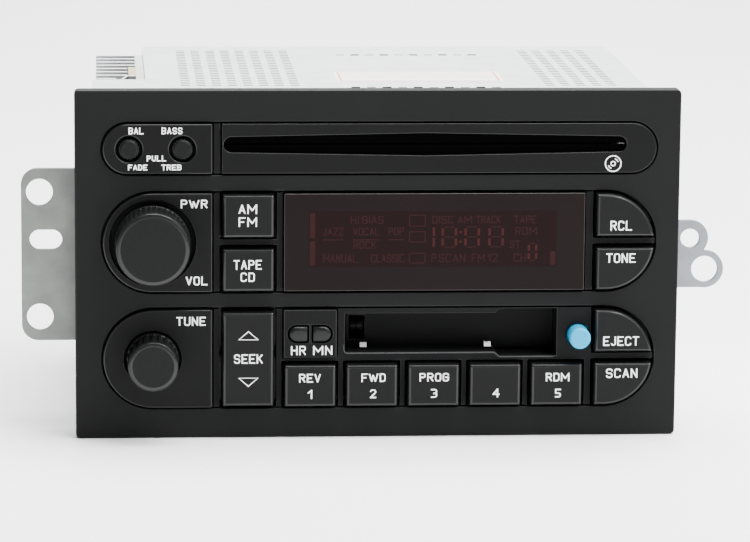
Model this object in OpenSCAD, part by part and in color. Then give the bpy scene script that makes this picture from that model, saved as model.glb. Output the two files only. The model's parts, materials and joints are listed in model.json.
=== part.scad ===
// Car CD and cassette player: dashboard face with knobs and buttons, a tape deck and a disc deck
// in one steel chassis. Millimetres. X runs to the right of the face, Y to the rear and Z up.

/* [Trim plate] */
// Width of the trim plate
plate_w = 196; // [192:1:204]
// Height of the trim plate
plate_h = 114; // [112:1:120]
// Thickness of the trim plate
plate_t = 2.4; // [2:0.1:3]
// Corner radius of the trim plate
plate_corner_r = 1.5; // [1:0.1:3]
// Depth of the skirt, from the front of the plate
skirt_depth = 6; // [5:0.5:9]
// Wall of the skirt
skirt_wall = 1.6; // [1.2:0.1:2.5]

/* [Face rows] */
// Strip of plate beside the left ends of the rows
left_margin = 8.5; // [7.5:0.1:10]
// Strip of plate beside the right ends of the rows
right_margin = 7.4; // [6.8:0.1:9]
// Strip of plate above the top row
top_margin = 10.3; // [9:0.1:11]
// Strip of plate between the top and middle rows
upper_bar = 5.3; // [4.5:0.1:6]
// Strip of plate between the middle and bottom rows
lower_bar = 4.8; // [4:0.1:6]
// Strip of plate under the bottom row
bottom_margin = 9.7; // [9:0.1:11]
// Share of the rows' height that the top row has
top_share = 0.205; // [0.195:0.001:0.215]
// Gap between a row's window and the panel in it
row_gap = 0.5; // [0.3:0.05:0.55]
// How far the pods stand out of the plate
pod_proud = 1.3; // [0:0.1:1.8]
// How far the disc slot's panel stands out of the plate
slot_proud = 0.5; // [0:0.1:1]
// How far the dividers lie behind the plate's front
divider_set = 0.4; // [0.2:0.1:0.8]
// Thickness of the face panel behind the trim plate
panel_t = 2; // [1.6:0.1:2.6]

/* [Face columns] */
// Width of the three rounded pods on the left
pod_w = 35.8; // [34:0.1:37]
// Bar between neighbouring columns
column_bar = 3; // [2.8:0.1:3.3]
// Width of the button column beside the pods
column_w = 17.1; // [16:0.1:18]
// Width of the buttons at the right-hand end of the rows
right_w = 20; // [19.5:0.1:20.4]
// Bar between the display and the right-hand buttons
right_bar = 3.5; // [3.2:0.1:4]
// Bar between two stacked buttons
stack_bar = 3.3; // [2.8:0.1:3.8]
// Gap between a pod or lens and its pocket
pocket_gap = 0.45; // [0.3:0.05:0.5]
// How far the display lens stands out of the plate
lens_proud = 1.2; // [0:0.1:1.6]
// Ledge of the face panel behind the lens
lens_ledge = 2; // [1.5:0.1:3]

/* [Buttons] */
// How far the buttons stand out of the plate
cap_proud = 3; // [2:0.1:3.5]
// Chamfer on the front edges of the buttons
cap_chamfer = 0.6; // [0.3:0.1:1]
// Draft of a button: how much each side draws in from back to front
cap_draft = 0.25; // [0.1:0.05:0.4]
// Gap between a button and its hole
cap_gap = 0.7; // [0.5:0.05:0.8]
// Travel of the buttons
cap_travel = 0.8; // [0.5:0.1:1]
// Ear that keeps a button behind the face panel
cap_ear = 1.2; // [1.1:0.05:1.25]
// Bar between neighbouring preset buttons
preset_bar = 2.9; // [2.8:0.1:3.2]
// Swing of the seek rocker to either side, in degrees
rocker_swing = 2.5; // [1:0.5:3]
// Bar between the clock pod and the preset button under it
clock_bar = 2.05; // [1.8:0.05:2.4]
// Share of the height above and below that bar that the clock pod has
clock_share = 0.528; // [0.51:0.002:0.54]
// Rim at either end of the clock pod's pill-shaped opening
pill_rim = 1.3; // [1:0.1:1.8]
// Height of the pill-shaped opening
pill_h = 5.8; // [5:0.1:6.4]
// Radius of the round blue button
blue_r = 3.5; // [3:0.1:3.6]
// Gap between the blue button and its hole
blue_gap = 0.5; // [0.4:0.05:0.6]
// How far the blue button stands out
blue_proud = 6.5; // [3:0.5:8]
// Distance from the cassette mouth to the blue button's middle
blue_set = 7; // [6.4:0.1:7]

/* [Knobs] */
// How far the volume and tune knobs stand out
knob_proud = 14; // [10:0.5:16]
// Distance of both knobs' axis from the left end of the rows
knob_set = 16.5; // [16:0.1:17]
// Radius of the volume knob's grip
volume_r = 11.9; // [11:0.1:12.5]
// Number of flutes round the volume knob
volume_flutes = 44; // [36:2:52]
// Radius of the tune knob's grip
tune_r = 8.2; // [7:0.1:8.6]
// Number of flutes round the tune knob
tune_flutes = 22; // [18:2:26]
// How far the base of a knob spreads past its grip
knob_flare = 0.4; // [0.3:0.1:0.8]
// Gap between the volume knob's base and its well
volume_well = 1.5; // [1:0.1:2]
// Gap between the tune knob's base and its well
tune_well = 0.5; // [0.4:0.1:1]
// Push of the volume knob, which is the power switch
volume_push = 0.8; // [0.5:0.1:0.9]
// Radius of the two tone knobs
tone_r = 3.3; // [2.8:0.1:3.5]
// Radius of the holes round the tone knobs
tone_hole_r = 4.25; // [4:0.05:4.4]
// How far the tone knobs stand out when pushed in
tone_proud = 1.5; // [1:0.1:2.5]
// How far the tone knobs pull out
tone_pull = 6; // [4:0.5:7]
// Distance between the two tone knobs
tone_pitch = 17.15; // [16.5:0.05:17.6]
// Radius of the volume and tune shafts
shaft_r = 3; // [2.5:0.1:3.2]
// Radius of the tone shafts
tone_shaft_r = 1.5; // [1.2:0.1:1.7]
// Running clearance of shafts in their bores
run_gap = 0.05; // [0.03:0.01:0.08]

/* [Disc and tape openings] */
// Left end of the disc slot, from the left end of its panel
slot_set = 0.6; // [0.5:0.1:1.2]
// Right end of the disc slot, from the right end of its panel
slot_end = 10.3; // [10:0.1:12]
// Height of the disc slot at its ends
slot_end_h = 5; // [4.6:0.1:5.4]
// Height of the disc slot in the middle
slot_mid_h = 7.3; // [6.5:0.1:8]
// How far the slot's middle lies above the row's middle
slot_rise = 1.3; // [0.8:0.1:1.6]
// Bar between the clock pod and the cassette mouth
mouth_bar = 2.7; // [2.4:0.1:3]
// Room for the blue button between the mouth and the end of the display
blue_room = 8.5; // [8.4:0.1:9]
// Share of the mouth's width that its low left part has
mouth_low_share = 0.709; // [0.69:0.005:0.73]
// Step from the low part of the mouth to the tall part
mouth_jog = 1.45; // [1.2:0.05:1.6]
// Drop from the top of the row to the top of the tall part
mouth_drop = 0.8; // [0.6:0.1:1.2]
// Wall of the mouth's sleeve
sleeve_t = 1.2; // [1:0.1:1.4]
// How far the cassette door lies behind the plate's front
door_set = 13; // [13:0.5:16]
// Thickness of the cassette door
door_t = 1.4; // [1.2:0.1:1.8]
// Gap round the cassette door
door_gap = 0.5; // [0.4:0.1:0.8]

/* [Chassis] */
// How far the chassis walls lie inside the ends of the plate
chassis_side = 6.5; // [6:0.25:7.5]
// How far the chassis lies inside the plate's lower and upper edges
chassis_rise = 4.5; // [4:0.25:5]
// Depth from the plate's front to the back of the chassis
chassis_back = 150; // [148:1:160]
// Sheet of the chassis and cover
sheet_t = 1; // [0.8:0.1:1.4]
// Depth at which the chassis steps in for the heat sink
step_y = 61; // [58:0.5:64]
// How far the chassis steps in for the heat sink
step_in = 17; // [16:0.5:18]
// Height of the cover's folded lips
lip_h = 9; // [6:0.5:12]
// Width of a vent slot
vent_w = 3; // [2.4:0.1:3.4]
// Length of a vent slot, front to back
vent_l = 1.6; // [1.2:0.1:2]
// Distance between vent columns
vent_pitch_x = 5.2; // [4.8:0.1:5.3]
// Distance between vent rows
vent_pitch_y = 4.4; // [4:0.1:4.6]
// Number of fins on the heat sink
fin_count = 9; // [6:1:10]
// Thickness of a fin
fin_t = 1.6; // [1.2:0.1:2.4]
// Length of the heat sink, front to back
sink_l = 72; // [66:1:76]
// Thickness of the heat sink's base
sink_base_t = 3; // [2.5:0.5:4]

/* [Brackets] */
// Reach of the brackets past the ends of the trim plate
bracket_out = 17.5; // [15:0.5:20]
// Sheet of the brackets
bracket_t = 1.5; // [1.2:0.1:2]
// How far the brackets' lugs lie behind the plate's front
bracket_y = 16; // [14:0.5:20]
// Height of the left bracket
left_lug_h = 57; // [54:0.5:60]
// Distance between the left bracket's round holes
left_pitch = 41.3; // [40:0.1:43]
// Radius of the left bracket's round holes
left_hole_r = 4.35; // [3.5:0.05:4.5]
// Radius of the right bracket's small hole
right_small_r = 3.1; // [2.5:0.05:3.3]
// Radius of the right bracket's large hole
right_large_r = 4.3; // [3.5:0.05:4.5]

/* [Hidden] */
$fn = 64;
// A length past every size of the object, for half-planes
far = 400;
// Rest gap between pieces that move past each other
play = 0.3;

// Depths, from the plate's front to the rear
panel_back = plate_t + panel_t;
ear_y0 = panel_back + play;
ear_t = 1.2;
ear_y1 = ear_y0 + ear_t;
board_space = 6.6;
board_t = 1.6;
board_y = panel_back + board_space;
switch_h = 1.6;
switch_y = board_y - switch_h;
chassis_front = panel_back + 4.6;
socket_reach = 10;
origin_y = (chassis_back + socket_reach - knob_proud) / 2;

// Rows: their ends, heights and middles
row_left = plate_w / 2 - left_margin;
row_right = plate_w / 2 - right_margin;
row_space = plate_h - top_margin - upper_bar - lower_bar - bottom_margin;
top_row_h = top_share * row_space;
mid_row_h = (row_space - top_row_h) / 2;
low_row_h = mid_row_h;
top_row_z = plate_h - top_margin - top_row_h / 2;
mid_row_z = top_row_z - top_row_h / 2 - upper_bar - mid_row_h / 2;
low_row_z = mid_row_z - mid_row_h / 2 - lower_bar - low_row_h / 2;

// Columns, from left to right
pod_x1 = -row_left + pod_w;
col_x0 = pod_x1 + column_bar;
col_x1 = col_x0 + column_w;
mid_x0 = col_x1 + column_bar;
right_x0 = row_right - right_w;
lens_x1 = right_x0 - right_bar;

// Clock pod, presets, mouth and blue button
preset_count = 5;
preset_pitch = (lens_x1 - mid_x0 + preset_bar) / preset_count;
preset_w = preset_pitch - preset_bar;
low_space = low_row_h - 2 * cap_gap - clock_bar;
clock_h = clock_share * low_space;
preset_h = low_space - clock_h;
preset_z0 = low_row_z - low_row_h / 2 + cap_gap;
clock_z1 = low_row_z + low_row_h / 2 - cap_gap;
clock_z = clock_z1 - clock_h / 2;
clock_x = mid_x0 + preset_w / 2;
pill_bar = 0.9;
pill_w = preset_w - 2 * pill_rim;
mouth_x0 = mid_x0 + preset_w + mouth_bar;
mouth_x1 = lens_x1 - blue_room;
mouth_w = mouth_x1 - mouth_x0;
mouth_low_w = mouth_low_share * mouth_w;
mouth_tall_h = clock_h;
mouth_low_h = mouth_tall_h - 2 * mouth_jog;
mouth_z = low_row_z + low_row_h / 2 - mouth_drop - mouth_tall_h / 2;
blue_x = mouth_x1 + blue_set;
blue_z = mouth_z - 1;

// Disc slot
slot_x0 = col_x0 + slot_set;
slot_x1 = row_right - slot_end;
slot_x = (slot_x0 + slot_x1) / 2;
slot_z = top_row_z + slot_rise;

// Knob axes and their controls
knob_x = -row_left + knob_set;
tone_x = [-row_left + 9, -row_left + 9 + tone_pitch];
knob_seat = plate_t - play - volume_push;
control_depth = 4.8;
control_y = board_y - control_depth;
control_wall = 0.8;
encoder_size = 14;
pot_size = 9;
encoder_rotor_r = shaft_r + 2;
pot_rotor_r = tone_shaft_r + 1.6;
rotor_y0 = control_y + control_wall + play;
rotor_y1 = board_y - play;
flat_share = 0.6;
volume_shaft_end = rotor_y1 - volume_push;
tone_shaft_end = rotor_y1 + tone_pull;

// Chassis heights and the inner faces of its walls
chassis_z0 = chassis_rise;
chassis_z1 = plate_h - chassis_rise;
floor_z = chassis_z0 + sheet_t;
wall_x = plate_w / 2 - chassis_side;
step_x = -wall_x + step_in;
inner_x1 = wall_x - sheet_t;
inner_x0 = step_x + sheet_t;
inner_back = chassis_back - sheet_t;
board_x = inner_x1 - play;

// Moves the face's coordinates to the origin, under the middle of the footprint
module place() {
    translate([0, -origin_y, 0]) children();
}

// Extrudes an outline drawn in X and Z from one depth to another
module slab(y0, y1) {
    translate([0, y1, 0]) rotate([90, 0, 0]) linear_extrude(y1 - y0) children();
}

// Extrudes an outline drawn in Y and Z from one X to another
module prism(x0, x1) {
    translate([x0, 0, 0]) rotate([90, 0, 90]) linear_extrude(x1 - x0) children();
}

// Turns a profile of radius and depth about an axis that runs front to back
module turned(x, z) {
    translate([x, 0, z]) rotate([-90, 0, 0]) rotate_extrude() children();
}

// Round bar that runs front to back
module rod_y(x, z, r, y0, y1) {
    translate([x, y0, z]) rotate([-90, 0, 0]) cylinder(r = r, h = y1 - y0);
}

// Round bar that runs across
module rod_x(y, z, r, x0, x1) {
    translate([x0, y, z]) rotate([0, 90, 0]) cylinder(r = r, h = x1 - x0);
}

// Box between two corners
module box(x0, x1, y0, y1, z0, z1) {
    translate([x0, y0, z0]) cube([x1 - x0, y1 - y0, z1 - z0]);
}

// Rectangle between two corners
module region(x0, x1, z0, z1) {
    translate([x0, z0]) square([x1 - x0, z1 - z0]);
}

// Rectangle with rounded corners
module rounded(x0, x1, z0, z1, r) {
    region(x0 + r, x1 - r, z0, z1);
    region(x0, x1, z0 + r, z1 - r);
    for (x = [x0 + r, x1 - r], z = [z0 + r, z1 - r]) translate([x, z]) circle(r);
}

// Stadium-shaped outline of a row, drawn in from its window by inset
module row_shape(z, h, inset) {
    r = h / 2 - inset;
    region(-row_left + h / 2, row_right - h / 2, z - r, z + r);
    for (x = [-row_left + h / 2, row_right - h / 2]) translate([x, z]) circle(r);
}

module all_rows(inset) {
    row_shape(top_row_z, top_row_h, inset);
    row_shape(mid_row_z, mid_row_h, inset);
    row_shape(low_row_z, low_row_h, inset);
}

// Left-hand pod of a row, with a round left end
module pod_shape(z, h) {
    intersection() {
        row_shape(z, h, row_gap);
        region(-far, pod_x1, -far, far);
    }
}

module disc_panel_shape() {
    intersection() {
        row_shape(top_row_z, top_row_h, row_gap);
        region(col_x0, far, -far, far);
    }
}

// Disc slot, higher in the middle and round at its ends
module slot_shape() {
    end_r = slot_end_h / 2;
    polygon([
        [slot_x0 + end_r, slot_z - end_r],
        [slot_x, slot_z - slot_mid_h / 2],
        [slot_x1 - end_r, slot_z - end_r],
        [slot_x1 - end_r, slot_z + end_r],
        [slot_x, slot_z + slot_mid_h / 2],
        [slot_x0 + end_r, slot_z + end_r]
    ]);
    for (x = [slot_x0 + end_r, slot_x1 - end_r]) translate([x, slot_z]) circle(end_r);
}

// Window behind the disc slot
slot_clear = 1;
module slot_window() {
    half = slot_mid_h / 2 + slot_clear;
    region(slot_x0 - slot_clear, slot_x1 + slot_clear, slot_z - half, slot_z + half);
}

// Cassette mouth: a low part for the tape's case and a tall part for its thick edge
module mouth_shape(grow) {
    low = mouth_low_h / 2 + grow;
    tall = mouth_tall_h / 2 + grow;
    jog_x = mouth_x0 + mouth_low_w - grow * tan(22.5);
    polygon([
        [mouth_x0 - grow, mouth_z - low],
        [jog_x, mouth_z - low],
        [jog_x + mouth_jog, mouth_z - tall],
        [mouth_x1 + grow, mouth_z - tall],
        [mouth_x1 + grow, mouth_z + tall],
        [jog_x + mouth_jog, mouth_z + tall],
        [jog_x, mouth_z + low],
        [mouth_x0 - grow, mouth_z + low]
    ]);
}

// One half of the clock pod's pill: side is -1 for the hour and 1 for the minute
module pill_shape(side, inset) {
    r = pill_h / 2;
    intersection() {
        translate([clock_x, clock_z]) {
            region(-pill_w / 2 + r, pill_w / 2 - r, inset - r, r - inset);
            for (x = [-pill_w / 2 + r, pill_w / 2 - r]) translate([x, 0]) circle(r - inset);
        }
        translate([clock_x + side * (pill_bar / 2 + inset + far / 2), clock_z])
            square([far, far], center = true);
    }
}

// Shaft section with one flat
module shaft_shape(r, gap) {
    intersection() {
        circle(r + gap);
        region(-far, r * flat_share + gap, -far, far);
    }
}

// Edges of the rectangular buttons: left, right, low, high
stack_low = [mid_row_z - mid_row_h / 2 + cap_gap, mid_row_z - stack_bar / 2];
stack_high = [mid_row_z + stack_bar / 2, mid_row_z + mid_row_h / 2 - cap_gap];
am_fm_edges = [col_x0, col_x1, stack_high[0], stack_high[1]];
tape_cd_edges = [col_x0, col_x1, stack_low[0], stack_low[1]];
rocker_inset = cap_gap + play;
seek_edges = [
    col_x0, col_x1,
    low_row_z - low_row_h / 2 + rocker_inset, low_row_z + low_row_h / 2 - rocker_inset
];
function preset_edges(i) = [
    mid_x0 + i * preset_pitch, mid_x0 + i * preset_pitch + preset_w,
    preset_z0, preset_z0 + preset_h
];

// Hole of a rectangular button
module cap_hole(e) {
    region(e[0] - cap_gap, e[1] + cap_gap, e[2] - cap_gap, e[3] + cap_gap);
}

// Hole of a quarter-round button on the right: side is 1 above and -1 below the row's middle
module quarter_hole(z, h, side) {
    edge = stack_bar / 2 - cap_gap;
    intersection() {
        row_shape(z, h, 0);
        translate([right_x0 - cap_gap, z + (side > 0 ? edge : -edge - far)]) square([far, far]);
    }
}

// All button holes, which go through the dividers and the panel behind them
module button_holes() {
    cap_hole(am_fm_edges);
    cap_hole(tape_cd_edges);
    region(seek_edges[0] - cap_gap, seek_edges[1] + cap_gap,
        seek_edges[2] - rocker_inset, seek_edges[3] + rocker_inset);
    for (i = [0 : preset_count - 1]) cap_hole(preset_edges(i));
    for (side = [-1, 1]) {
        quarter_hole(mid_row_z, mid_row_h, side);
        quarter_hole(low_row_z, low_row_h, side);
    }
    translate([blue_x, blue_z]) circle(blue_r + blue_gap);
    mouth_shape(0);
}

module lens_shape(inset) {
    region(mid_x0 + inset, lens_x1 - inset,
        mid_row_z - mid_row_h / 2 + cap_gap + inset, mid_row_z + mid_row_h / 2 - cap_gap - inset);
}

module clock_shape(grow) {
    region(mid_x0 - grow, mid_x0 + preset_w + grow, clock_z1 - clock_h - grow, clock_z1 + grow);
}

// Trim plate: a flat plate with three windows and a shallow skirt
module trim_plate() {
    color("#232426") place() {
        difference() {
            slab(0, skirt_depth) rounded(-plate_w / 2, plate_w / 2, 0, plate_h, plate_corner_r);
            slab(plate_t, far) region(
                -plate_w / 2 + skirt_wall, plate_w / 2 - skirt_wall, skirt_wall, plate_h - skirt_wall);
            slab(-1, far) all_rows(0);
        }
    }
}

// Posts on the panel's back that carry the front board
post_r = 2;
post_x = board_x - 4;
post_set = 4;
post_z = [chassis_z0 + post_set, mid_row_z - mid_row_h / 2 - lower_bar / 2, chassis_z1 - post_set];
lug_t = 2;
lug_h = 8;
lug_set = 10;
lug_z = [chassis_z0 + lug_set, chassis_z1 - lug_set - lug_h];
lug_reach = 9;

// Face panel: dividers that fill the rows, a plate behind them and the rocker's bearings
module face_panel() {
    side_x = plate_w / 2 - skirt_wall - play;
    color("#1d1e20") place() {
        difference() {
            union() {
                slab(divider_set, plate_t) difference() {
                    all_rows(row_gap);
                    region(-far, pod_x1 + pocket_gap, -far, far);
                    translate([col_x0 - pocket_gap, top_row_z - top_row_h / 2]) square([far, far]);
                    lens_shape(-pocket_gap);
                    clock_shape(pocket_gap);
                    button_holes();
                }
                slab(plate_t, panel_back) difference() {
                    region(-side_x, side_x, skirt_wall + play, plate_h - skirt_wall - play);
                    lens_shape(lens_ledge);
                    slot_window();
                    button_holes();
                    for (side = [-1, 1]) pill_shape(side, 0);
                    for (z = [mid_row_z, low_row_z]) translate([knob_x, z]) circle(shaft_r + play);
                    for (x = tone_x) translate([x, top_row_z]) circle(tone_shaft_r + play);
                }
                for (x = rocker_ear_x) rocker_ear(x);
            }
            rod_x(rocker_y, low_row_z, rocker_pin_r + run_gap, col_x0 - 4, col_x1 + 4);
        }
    }
}

// Bearings of the seek rocker, on both sides of its hole
rocker_pin_r = 1;
rocker_y = panel_back + 2.4;
rocker_ear_t = 1.2;
rocker_ear_x = [col_x0 - cap_gap - rocker_ear_t, col_x1 + cap_gap];
module rocker_ear(x) {
    box(x, x + rocker_ear_t, panel_back, rocker_y + rocker_pin_r + 1, low_row_z - 2.5, low_row_z + 2.5);
}

// Panel frame: the mouth's sleeve, a collar that meets the chassis, the board's posts and side lugs
module panel_frame() {
    color("#1b1c1e") place() {
        slab(panel_back, door_set - play) difference() {
            mouth_shape(sleeve_t);
            mouth_shape(0);
        }
        slab(panel_back, chassis_front) difference() {
            region(-wall_x, wall_x, chassis_z0, chassis_z1);
            region(-inner_x1, inner_x1, floor_z, chassis_z1 - sheet_t);
        }
        for (x = [-post_x, post_x], z = post_z) rod_y(x, z, post_r, panel_back, board_y);
        for (x = [-wall_x - lug_t, wall_x], z = lug_z)
            box(x, x + lug_t, panel_back, chassis_front + lug_reach, z, z + lug_h);
    }
}

module tone_pod() {
    color("#242527") place() slab(-pod_proud, plate_t) difference() {
        pod_shape(top_row_z, top_row_h);
        for (x = tone_x) translate([x, top_row_z]) circle(tone_hole_r);
    }
}

module volume_pod() {
    color("#242527") place() slab(-pod_proud, plate_t) difference() {
        pod_shape(mid_row_z, mid_row_h);
        translate([knob_x, mid_row_z]) circle(volume_r + knob_flare + volume_well);
    }
}

module tune_pod() {
    color("#242527") place() slab(-pod_proud, plate_t) difference() {
        pod_shape(low_row_z, low_row_h);
        translate([knob_x, low_row_z]) circle(tune_r + knob_flare + tune_well);
    }
}

module clock_pod() {
    color("#242527") place() slab(-pod_proud, plate_t) difference() {
        clock_shape(0);
        for (side = [-1, 1]) pill_shape(side, 0);
    }
}

module cd_slot_panel() {
    color("#202123") place() slab(-slot_proud, plate_t) difference() {
        disc_panel_shape();
        slot_shape();
    }
}

module display_lens() {
    color("#1c0f12") place() slab(-lens_proud, plate_t) lens_shape(0);
}

// Display tube: a flat glass envelope on the front board
tube_inset = 4;
module display_tube() {
    color("#3a2024") place() slab(panel_back + 1, board_y) lens_shape(tube_inset);
}

// Front board: cut out for the disc path and for the mouth's sleeve
board_edge = 1.5;
module front_board() {
    color("#2f5a3a") place() slab(board_y, board_y + board_t) difference() {
        region(-board_x, board_x, floor_z + board_edge, chassis_z1 - sheet_t - board_edge);
        slot_window();
        mouth_shape(sleeve_t + play);
        for (x = tone_x) translate([x, top_row_z]) circle(tone_shaft_r + play);
    }
}

// Middles of the push buttons, where their stems press the switches
function middle(e) = [(e[0] + e[1]) / 2, (e[2] + e[3]) / 2];
quarter_x = right_x0 + 8;
stack_h = stack_high[1] - stack_high[0];
stack_mid = stack_bar / 2 + stack_h / 2;
seek_arm = 11;
pill_mid = pill_w / 4 + pill_bar / 4;
switch_points = concat(
    [middle(am_fm_edges), middle(tape_cd_edges)],
    [for (i = [0 : preset_count - 1]) middle(preset_edges(i))],
    [for (z = [mid_row_z, low_row_z], side = [-1, 1]) [quarter_x, z + side * stack_mid]],
    [for (side = [-1, 1]) [middle(seek_edges)[0], low_row_z + side * seek_arm]],
    [for (side = [-1, 1]) [clock_x + side * pill_mid, clock_z]],
    [[blue_x, blue_z]]
);

// Push switch on the front board, with its plunger towards the button
switch_size = 4.4;
plunger_r = 1.2;
plunger_h = 0.6;
module push_switch(p) {
    half = switch_size / 2;
    box(p[0] - half, p[0] + half, switch_y + plunger_h, board_y, p[1] - half, p[1] + half);
    rod_y(p[0], p[1], plunger_r, switch_y, switch_y + plunger_h + 0.1);
}

// Body of a rotary control, hollow for its rotor
module control_body(x, z, size, r, rotor_r) {
    difference() {
        box(x - size / 2, x + size / 2, control_y, board_y, z - size / 2, z + size / 2);
        rod_y(x, z, r + play, control_y - 1, board_y + 1);
        rod_y(x, z, rotor_r + run_gap, control_y + control_wall, board_y + 1);
    }
}

// Front controls: a push switch behind each button, the two encoders and the two tone controls
module front_controls() {
    color("#9a9ea2") place() {
        for (p = switch_points) push_switch(p);
        control_body(knob_x, mid_row_z, encoder_size, shaft_r, encoder_rotor_r);
        control_body(knob_x, low_row_z, encoder_size, shaft_r, encoder_rotor_r);
        for (x = tone_x) control_body(x, top_row_z, pot_size, tone_shaft_r, pot_rotor_r);
    }
}

// Rotor that a flatted shaft turns and slides in
module rotor(x, z, r, rotor_r) {
    translate([x, 0, z]) slab(rotor_y0, rotor_y1) difference() {
        circle(rotor_r);
        shaft_shape(r, run_gap);
    }
}

module volume_rotor() {
    color("#d8c9a0") place() rotor(knob_x, mid_row_z, shaft_r, encoder_rotor_r);
}

module balance_rotor() {
    color("#d8c9a0") place() rotor(tone_x[0], top_row_z, tone_shaft_r, pot_rotor_r);
}

module bass_rotor() {
    color("#d8c9a0") place() rotor(tone_x[1], top_row_z, tone_shaft_r, pot_rotor_r);
}

// Circle with flutes cut round its rim
module fluted_shape(r, count, flute_r) {
    difference() {
        circle(r);
        for (i = [0 : count - 1]) rotate(i * 360 / count) translate([r + flute_r * 0.4, 0])
            circle(flute_r, $fn = 24);
    }
}

// Large knob: a chamfered crown, a fluted grip, a flared base, and a boss that takes the shaft
knob_face_t = 2.4;
knob_wall = 1.6;
knob_rim = 1.6;
knob_boss = 1.8;
knob_base_h = 2.4;
module knob(z, r, flutes, flute_r) {
    base_y = knob_seat - knob_base_h;
    difference() {
        union() {
            turned(knob_x, z) polygon([
                [0, -knob_proud],
                [r - 1, -knob_proud],
                [r - 0.3, -knob_proud + 0.3],
                [r, -knob_proud + 1],
                [r, -knob_proud + knob_rim],
                [0, -knob_proud + knob_rim]
            ]);
            translate([knob_x, 0, z]) slab(-knob_proud + knob_rim, base_y)
                fluted_shape(r, flutes, flute_r);
            turned(knob_x, z) polygon([
                [0, base_y],
                [r, base_y],
                [r + knob_flare, base_y + knob_flare],
                [r + knob_flare, knob_seat],
                [0, knob_seat]
            ]);
        }
        turned(knob_x, z) polygon([
            [shaft_r + knob_boss, -knob_proud + knob_face_t],
            [r - knob_wall, -knob_proud + knob_face_t],
            [r - knob_wall, knob_seat + 1],
            [shaft_r + knob_boss, knob_seat + 1]
        ]);
        translate([knob_x, 0, z]) slab(-knob_proud + knob_face_t, far) shaft_shape(shaft_r, run_gap);
    }
}

module volume_knob() {
    color("#262729") place() knob(mid_row_z, volume_r, volume_flutes, 0.6);
}

module tune_knob() {
    color("#262729") place() knob(low_row_z, tune_r, tune_flutes, 0.8);
}

module volume_shaft() {
    color("#c9cbce") place() translate([knob_x, 0, mid_row_z])
        slab(-knob_proud + knob_face_t + play, volume_shaft_end) shaft_shape(shaft_r, 0);
}

// Tune shaft: flatted in the knob, round in the encoder
module tune_shaft() {
    color("#c9cbce") place() {
        translate([knob_x, 0, low_row_z]) slab(-knob_proud + knob_face_t + play, control_y)
            shaft_shape(shaft_r, 0);
        rod_y(knob_x, low_row_z, shaft_r, control_y, rotor_y0);
        rod_y(knob_x, low_row_z, encoder_rotor_r, rotor_y0, rotor_y1);
    }
}

// Small knob on its own shaft, fluted, which pulls out of its pod
tone_flutes = 16;
module tone_knob(x) {
    translate([x, 0, top_row_z]) {
        slab(-tone_proud + 0.5, plate_t - play) fluted_shape(tone_r, tone_flutes, 0.35);
        slab(plate_t - play, tone_shaft_end) shaft_shape(tone_shaft_r, 0);
    }
    turned(x, top_row_z) polygon([
        [0, -tone_proud],
        [tone_r - 0.8, -tone_proud],
        [tone_r - 0.3, -tone_proud + 0.5],
        [0, -tone_proud + 0.5]
    ]);
}

module balance_knob() {
    color("#262729") place() tone_knob(tone_x[0]);
}

module bass_knob() {
    color("#262729") place() tone_knob(tone_x[1]);
}

// Section of a button's cap: it draws in towards its chamfered front
function cap_section(low, high, back) = [
    [low, back],
    [low + cap_draft, cap_chamfer - cap_proud],
    [low + cap_draft + cap_chamfer, -cap_proud],
    [high - cap_draft - cap_chamfer, -cap_proud],
    [high - cap_draft, cap_chamfer - cap_proud],
    [high, back]
];
module cap_bar(x0, x1, z0, z1, back) {
    prism(x0, x1) polygon([for (p = cap_section(z0, z1, back)) [p[1], p[0]]]);
}
module cap_block(x0, x1, z0, z1, back) {
    intersection() {
        translate([0, 0, z0]) linear_extrude(z1 - z0) polygon(cap_section(x0, x1, back));
        cap_bar(x0, x1, z0, z1, back);
    }
}

// Stem behind a button
stem = 3.6;
stem_end = switch_y - cap_travel - play;
module button_stem(p) {
    box(p[0] - stem / 2, p[0] + stem / 2, ear_y1 - 0.2, stem_end, p[1] - stem / 2, p[1] + stem / 2);
}

// Rectangular button: cap, two side ears and a stem
module flat_button(e) {
    ear_cut = 2;
    color("#222325") place() {
        cap_block(e[0], e[1], e[2], e[3], ear_y1);
        box(e[0] - cap_ear, e[1] + cap_ear, ear_y0, ear_y1, e[2] + ear_cut, e[3] - ear_cut);
        button_stem(middle(e));
    }
}

// Quarter-round button at the right end of a row: side is 1 above and -1 below
module quarter_button(z, h, side) {
    r = h / 2 - cap_gap;
    arc_x = row_right - h / 2;
    z0 = side > 0 ? z + stack_bar / 2 : z - h;
    z1 = side > 0 ? z + h : z - stack_bar / 2;
    color("#222325") place() {
        intersection() {
            union() {
                turned(arc_x, z) polygon([
                    [0, -cap_proud],
                    [r - cap_draft - cap_chamfer, -cap_proud],
                    [r - cap_draft, cap_chamfer - cap_proud],
                    [r, ear_y1],
                    [0, ear_y1]
                ]);
                cap_bar(right_x0 - h, arc_x, z - r, z + r, ear_y1);
            }
            cap_block(right_x0, right_x0 + h, z0, z1, ear_y1);
        }
        slab(ear_y0, ear_y1) intersection() {
            row_shape(z, h, cap_gap - cap_ear);
            region(right_x0 + 1, far, z0, z1);
            region(-far, inner_x1 - play, -far, far);
        }
        button_stem([quarter_x, z + side * stack_mid]);
    }
}

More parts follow.
